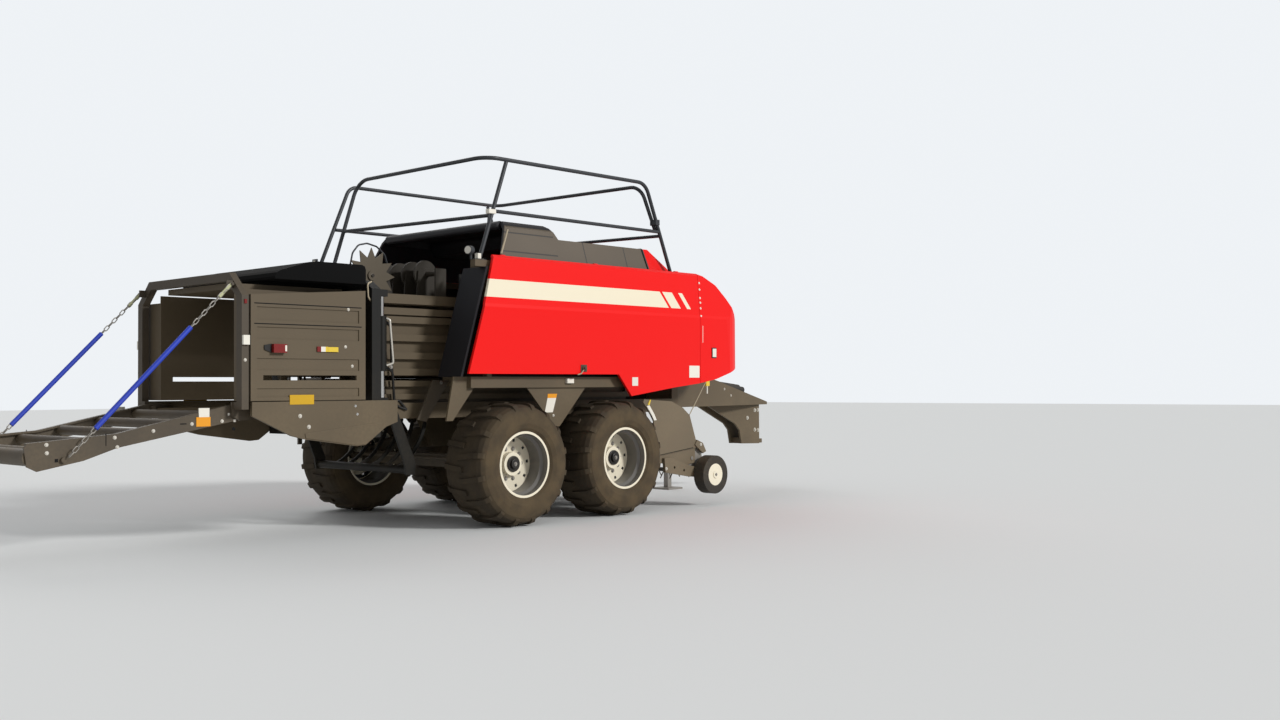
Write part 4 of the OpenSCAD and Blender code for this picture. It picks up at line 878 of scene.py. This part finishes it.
def dress_wheel(place):
    hub = middle("tyre_" + place)
    way = Vector((0, 1 if hub.y > 0 else -1, 0))
    body = "wheel_" + place
    spots = ring_places(hub + way * (disc_out + face_t), stud_ring, stud_count)
    studs = [part for spot in spots for part in bolt(spot, way, stud_size)]
    add_mesh("studs_" + place, *gather(studs), finishes["bright_metal"], body, "bright_metal")
    ring = slotted_face(hub + way * (disc_out + face_lift))
    sheet = add_mesh("disc_face_" + place, *ring, rim_cream, body, "rim_paint").modifiers.new("sheet", "SOLIDIFY")
    sheet.thickness = face_t
    sheet.offset = 0
    cap = [prism(hub + way * (cap_out + lift), way, radius, length, 40) for lift, radius, length in cap_steps]
    add_mesh("hub_cap_" + place, *gather(cap), hose_black, body, "tyre_rubber", 0.004)
    bolts("hub_nut_" + place, [hub + way * (cap_out + nut_lift)], way, body, 0.020)


for place in wheel_places:
    dress_wheel(place)
print("wheels dressed:", len(wheel_places))

# %% [markdown]
# Blank plates, reflectors and light marks. Each is a thin plate whose corners are laid on the panel by the rays, so
# it follows a curved skin. A yellow catch with its pin hangs under the hood's edge.

# %% Reflectors and blank plates
shields, hood, side_frames = ("shield_{}", "shield_{}"), ("front_hood", "chassis"), ("side_frame_{}", "chassis")
portal = ("rear_portal", "chassis")
reflector = [(-0.158, 1.015), (-0.055, 1.015), (-0.010, 1.150), (-0.122, 1.150)]
reflector_tip = [(-0.122, 1.150), (-0.010, 1.150), (0.003, 1.190), (-0.118, 1.190)]
plates("hanging_reflector", *side_frames, reflector, white)
plates("hanging_reflector_tip", *side_frames, reflector_tip, amber)
panel_bolts("hanging_reflector_bolt", *side_frames, [(-0.045, 0.985)], 0.014)
plates("panel_plate_large", *shields, oblong(1.800, 1.965, 1.345, 1.470), white, "shield_paint")
plates("panel_plate_small", *shields, oblong(0.925, 1.010, 1.262, 1.347), white, "shield_paint")
plates("hood_lamp_frame", *hood, oblong(2.168, 2.242, 1.555, 1.665), hose_black, "shield_paint", 0.006)
plates("hood_lamp_glass", *hood, oblong(2.175, 2.235, 1.565, 1.655), white, "shield_paint", 0.010)
plates("hood_light_line", *hood, oblong(2.017, 2.023, 1.716, 1.895), white, "shield_paint", 0.0015)
rivet_x, rivet_heights = 2.000, (2.350, 2.280, 2.190, 2.140, 2.080, 2.000)
panel_bolts("hood_rivets", *hood, [(rivet_x, z) for z in rivet_heights], 0.013, white)
plates("portal_marker", *portal, oblong(-3.130, -3.108, 1.925, 1.958), finishes["lamp_lens"], "lamp_lens", 0.008)
plates("portal_lamp", *portal, oblong(-3.148, -3.093, 1.600, 1.675), white, "chassis_paint", 0.024)
panel_bolts("portal_bolt", *portal, [(-3.120, 1.480)], 0.014)
catch_inner, catch_outer, pin_y = 1.205, 1.238, 1.222
for side, flip in sides:
    y_low, y_high = sorted((catch_inner * flip, catch_outer * flip))
    catch = (at(2.085, y_low, 1.255), at(2.145, y_high, 1.325))
    boxes("hood_catch_" + side, [catch], yellow, "chassis", bevel=0.006)
    pin = prism(at(2.115, pin_y * flip, 1.175), (0, 0, 1), 0.009, 0.085, 16)
    add_mesh("hood_catch_pin_" + side, *pin, white, "chassis")
print("plates laid")

# %% [markdown]
# Each shield is held by a latch: a pale catch on the fender beam, and a grey knob with its pull above it.

# %% Shield latch
base_t = 0.006
for side, flip in sides:
    place, _ = on_panel("side_frame_" + side, 0.135, 1.310, flip)
    catch = (place + Vector((-0.045, -0.004 * flip, -0.022)), place + Vector((0.045, 0.030 * flip, 0.024)))
    boxes("latch_catch_" + side, [catch], white, "chassis", bevel=0.006)
    knob, outward = on_panel("shield_" + side, 0.244, 1.430, flip)
    y_low, y_high = sorted((0, base_t * flip))
    knob_parts = [cuboid(knob + Vector((-0.040, y_low, -0.032)), knob + Vector((0.040, y_high, 0.036))),
                  prism(knob - outward * 0.002, outward, 0.026, 0.020, 24),
                  prism(knob + outward * 0.018, outward, 0.015, 0.018, 24)]
    add_mesh("latch_knob_" + side, *gather(knob_parts), brown_grey, "shield_" + side, "bright_metal", 0.002)
    pull = [knob + Vector((x, 0.016 * flip, z)) for x, z in ((-0.010, -0.010), (-0.050, -0.050), (-0.095, -0.060))]
    tube("latch_pull_" + side, pull, 0.006, straw, "shield_" + side, bend=0.02)
print("latches done")

# %% [markdown]
# A black rubber seal runs over the roof's front edge, where the red shoulder begins, and a light strip closes the
# rear edge of the roof's side.

# %% Roof seal and edge strips
seal = [(1.392, 1.072, 2.404), (1.378, 1.040, 2.500), (1.354, 0.984, 2.676)]
seal_path = [at(x, -y, z) for x, y, z in seal] + [at(x, y, z) for x, y, z in reversed(seal)]
tube("roof_seal", seal_path, 0.013, hose_black, "chassis", bend=0.03)
for side, flip in sides:
    strip = [at(-0.472, 0.966 * flip, 2.726), at(-0.545, 1.006 * flip, 2.610), at(-0.622, 1.045 * flip, 2.482)]
    tube("roof_edge_strip_" + side, strip, 0.009, straw, "chassis")
print("roof seal laid")

# %% [markdown]
# The density doors: a thin near-black plate along each pressed line between the pockets, painted shade in the groove,
# bolts, and a second lamp on each, whose lens runs from a red end through cream to yellow. A small white plate on the
# red lamp's end is a painted highlight.

# %% Density door trims
door = ("door_{}", "door_{}")
line_heights, door_line_half = (1.932, 1.770), 0.004
# Each pressed line is a thin near-black plate: painted shade in its groove.
for z in line_heights:
    line = oblong(-3.040, -2.030, z - door_line_half, z + door_line_half)
    plates(f"door_line_{round(z * 1000)}", *door, line, shade_and_joint_dark, proud=0.0012)
panel_bolts("door_bolts", *door, [(-2.162, 1.914), (-2.117, 1.439), (-2.190, 1.600)], 0.014)
lens_low, lens_high = 1.555, 1.597
lenses = (("pink", -2.470, -2.435, finishes["lamp_lens"]), ("cream", -2.435, -2.392, white),
          ("yellow", -2.392, -2.368, yellow))
for tint, x0, x1, material in lenses:
    plates("lens_" + tint, *door, oblong(x0, x1, lens_low, lens_high), material, "lamp_lens", 0.012)
# A small white plate on the red lamp's end: a painted highlight.
plates("lamp_glint", "lamp_{}", "door_{}", oblong(-2.789, -2.773, 1.552, 1.600), white, "lamp_lens", 0.002)
lamp_bracket = [(-2.955, 1.565), (-2.892, 1.540), (-2.892, 1.612), (-2.955, 1.600)]
plates("lamp_bracket", *door, lamp_bracket, hose_black, proud=0.010)
print("doors dressed")

# %% [markdown]
# Hoses feed the density cylinders. Each is a thin black tube that leaves the cylinder, sags, and goes along the
# chamber. A pale pipe runs up the front of each barrel.

# %% Hoses and pipes
def side_places(path, flip):
    """Places on one side, for a path given on the left."""
    return [at(x, y * flip, z) for x, y, z in path]


hose_starts = (1.84, 1.44)
pipe = [(-1.700, 0.765, 1.860), (-1.678, 0.785, 1.850), (-1.642, 0.785, 1.470), (-1.700, 0.765, 1.450)]
pipe_nut = (-1.659, 0.775, 1.437)
yoke_hose = [(-1.880, 0.800, 2.170), (-1.925, 0.805, 2.150), (-1.918, 0.805, 2.035), (-1.880, 0.790, 2.000)]
for side, flip in sides:
    for i, start_z in enumerate(hose_starts):
        hose = [(-1.700, 0.745, start_z), (-1.640 + 0.02 * i, 0.745, start_z - 0.04),
                (-1.600 + 0.03 * i, 0.700, start_z - 0.35), (-1.560 + 0.03 * i, 0.693, 1.10 + 0.06 * i),
                (-1.440, 0.705, 1.06)]
        tube(f"hose_{side}_{i}", side_places(hose, flip), 0.011, hose_black, "chassis", bend=0.12,
             sides=3)
    tube("cylinder_pipe_" + side, side_places(pipe, flip), 0.010, pale_metal, "chassis", bend=0.02)
    bolts("pipe_nut_" + side, side_places([pipe_nut], flip), (0, flip, 0), "chassis", 0.018)
    tube("yoke_hose_" + side, side_places(yoke_hose, flip), 0.007, straw, "chassis", bend=0.03)
print("hoses done")

# %% [markdown]
# A thin wire hoop guards the toothed measuring wheel on top of the chamber, and a bright bolt ends its hub.

# %% Guard hoop
star = middle("star_wheel")
guard = [(-0.197, 0.088), (-0.172, 0.200), (-0.110, 0.275), (-0.016, 0.297), (0.090, 0.275), (0.180, 0.205),
         (0.215, 0.100)]
guard_y = 0.045
hoop = [star + Vector((x, guard_y, z)) for x, z in guard]
tube("star_guard", hoop, 0.008, rail_grey, "chassis", bend=0.06, sides=3)
star_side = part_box("star_wheel")[0][1]
bolts("star_bolt", [Vector((star.x, star_side + 0.001, star.z))], (0, -1, 0), "star_wheel", 0.018)
print("hoop points:", len(guard))

# %% [markdown]
# Below the doors hang the long skirts. They carry an amber plate, a few bolts and small pins, and a lip that is
# folded outward.

# %% Skirt trims
skirt_face, skirt_sunk = 0.870, 0.002
lip = [(-2.585, 0.885), (-1.985, 0.945), (-1.800, 0.957), (-1.985, 0.778), (-2.080, 0.771), (-2.575, 0.845)]
skirt_marker = oblong(-2.724, -2.499, 1.123, 1.202)
inner = skirt_face - skirt_sunk
slabs("skirt_lip", lip, inner, skirt_face + 0.006, taupe, "chassis", bevel=0.003)
slabs("skirt_marker", skirt_marker, inner, skirt_face + 0.004, gold, "chassis", "lamp_lens", 0.001)
skirt = ("lower_skirts", "chassis")
panel_bolts("skirt_bolts", *skirt, [(-2.627, 1.029), (-2.545, 0.939)], 0.018)
panel_bolts("skirt_pins", *skirt, [(-2.093, 1.103), (-2.074, 1.034)], 0.012, chrome)
print("skirts dressed")

# %% [markdown]
# The bale chute: bolts and pins along its side rails, two holes and a slit drawn as near-black plates, which are
# painted shade, an orange reflector with a white one above it, and the dark line where its two lengths meet.

# %% Chute trims
chute_bolts = [(-4.582, 0.864), (-4.579, 0.805), (-4.089, 0.899), (-4.070, 0.828), (-3.793, 0.939), (-3.483, 0.984),
               (-3.230, 1.000)]
panel_bolts("chute_bolts", "chute_frame", "chute", chute_bolts, 0.015)
rail_face, mark_sunk = 0.715, 0.004
# Name, outline and finish of each mark, and how far it stands out of the rail
chute_marks = (
    # The holes and the slit are near-black plates: painted shade.
    ("hole_front", oblong(-3.142, -3.118, 0.925, 0.949), shade_and_joint_dark, 0.001),
    ("hole_rear", oblong(-4.524, -4.500, 0.737, 0.761), shade_and_joint_dark, 0.001),
    ("slit", oblong(-3.580, -3.528, 0.982, 0.990), shade_and_joint_dark, 0.001),
    ("joint", oblong(-4.158, -4.152, 0.840, 0.930), shade_and_joint_dark, 0.001),
    ("pin_high", oblong(-3.182, -3.162, 1.043, 1.063), pale_metal, 0.0006),
    ("pin_low", oblong(-3.132, -3.112, 0.991, 1.011), pale_metal, 0.0006),
    ("amber", oblong(-3.449, -3.331, 0.962, 1.035), amber, 0.005),
    ("white", oblong(-3.428, -3.340, 1.035, 1.105), white, 0.005),
)
for mark, outline, material, proud in chute_marks:
    slabs("chute_" + mark, outline, rail_face - mark_sunk, rail_face + proud, material, "chute")
print("chute marks:", len(chute_marks))

# %% [markdown]
# Inside the fender beam a second strut slants down, held by a bolt at its top.

# %% Inner strut
strut = [(-1.220, 1.320), (-1.040, 1.320), (-1.300, 0.950), (-1.400, 0.970)]
strut_inner, strut_outer = 0.790, 0.810
slabs("inner_strut", strut, strut_inner, strut_outer, brown_grey, "chassis", bevel=0.003)
for side, flip in sides:
    strut_bolt = at(-1.134, (strut_outer - 0.001) * flip, 1.300)
    bolts("inner_strut_bolt_" + side, [strut_bolt], (0, flip, 0), "chassis", 0.018)
print("struts done")

# %% [markdown]
# The pickup's end shields have a white marker with a yellow tip, a near-black plate along a pressed line, which is
# painted shade, and bolts on the arm, and a thin lift rod comes down to them from the hood. Each gauge wheel has a pale
# dish with a bolt in its middle.

# %% Pickup trims
pickup = ("pickup_frame", "pickup_frame")
pressed_line = [(1.340, 0.551), (1.860, 0.607), (1.860, 0.613), (1.340, 0.557)]
# A thin near-black plate along the pressed line: painted shade in the crease.
plates("pickup_crease_shade", *pickup, pressed_line, shade_and_joint_dark, proud=0.0012)
panel_bolts("pickup_bolts", *pickup, [(1.411, 0.412), (1.972, 0.640)], 0.018)
marker_post = [(1.134, 1.056), (1.206, 0.966), (1.244, 0.908), (1.282, 0.912), (1.248, 0.972), (1.176, 1.064)]
marker_tip = [(1.150, 1.066), (1.176, 1.066), (1.198, 1.120), (1.182, 1.120)]
marker_inner, marker_outer = 1.236, 1.248
rod_y, rod_r = 1.246, 0.005
dish_r, boss_r = 0.116, 0.040
for part, outline, material in (("post", marker_post, white), ("tip", marker_tip, yellow)):
    slabs("pickup_marker_" + part, outline, marker_inner, marker_outer, material, "pickup_frame", bevel=0.001)
for side, flip in sides:
    rod = [at(2.062, rod_y * flip, 1.296), at(1.797, rod_y * flip, 0.956)]
    tube("lift_rod_" + side, rod, rod_r, straw, "chassis")
    wheel = "gauge_wheel_" + side
    low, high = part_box(wheel)
    way = Vector((0, flip, 0))
    face = middle(wheel) + way * ((high[1] - low[1]) / 2)
    dish = [prism(face - way * 0.012, way, dish_r, 0.013, 48), prism(face - way * 0.001, way, boss_r, 0.010, 32)]
    add_mesh("gauge_dish_" + side, *gather(dish), finishes["rim_paint"], wheel, "rim_paint", 0.004)
    bolts("gauge_bolt_" + side, [face + way * 0.008], way, wheel, 0.018)
print("pickup dressed")

# %% [markdown]
# The drawbar's drop plates are bolted, and its beams carry a few fittings.

# %% Drawbar trims
drawbar = ("drawbar", "chassis")
drop_bolts = [(4.400, 0.949), (4.465, 0.952), (4.250, 0.856), (4.397, 0.705), (4.465, 0.698)]
panel_bolts("drop_plate_bolts", *drawbar, drop_bolts, 0.026)
panel_bolts("drawbar_bolts", *drawbar, [(3.481, 1.218), (3.652, 1.141)], 0.016)
print("drawbar dressed")

# %% [markdown]
# The floor is a wide pale square that belongs to the studio, not to the machine.

# %% Floor
floor_half = 70
floor_paint = Finish("studio_floor").paint(Base_Color=(0.74, 0.75, 0.74, 1), Roughness=0.9)
floor_mesh = bpy.data.meshes.new("floor")
corners = [(x * floor_half, y * floor_half, 0) for x, y in ((-1, -1), (1, -1), (1, 1), (-1, 1))]
floor_mesh.from_pydata(corners, [], [(0, 1, 2, 3)])
floor = bpy.data.objects.new("floor", floor_mesh)
bpy.context.collection.objects.link(floor)
floor_mesh.materials.append(floor_paint)
print("floor ready")
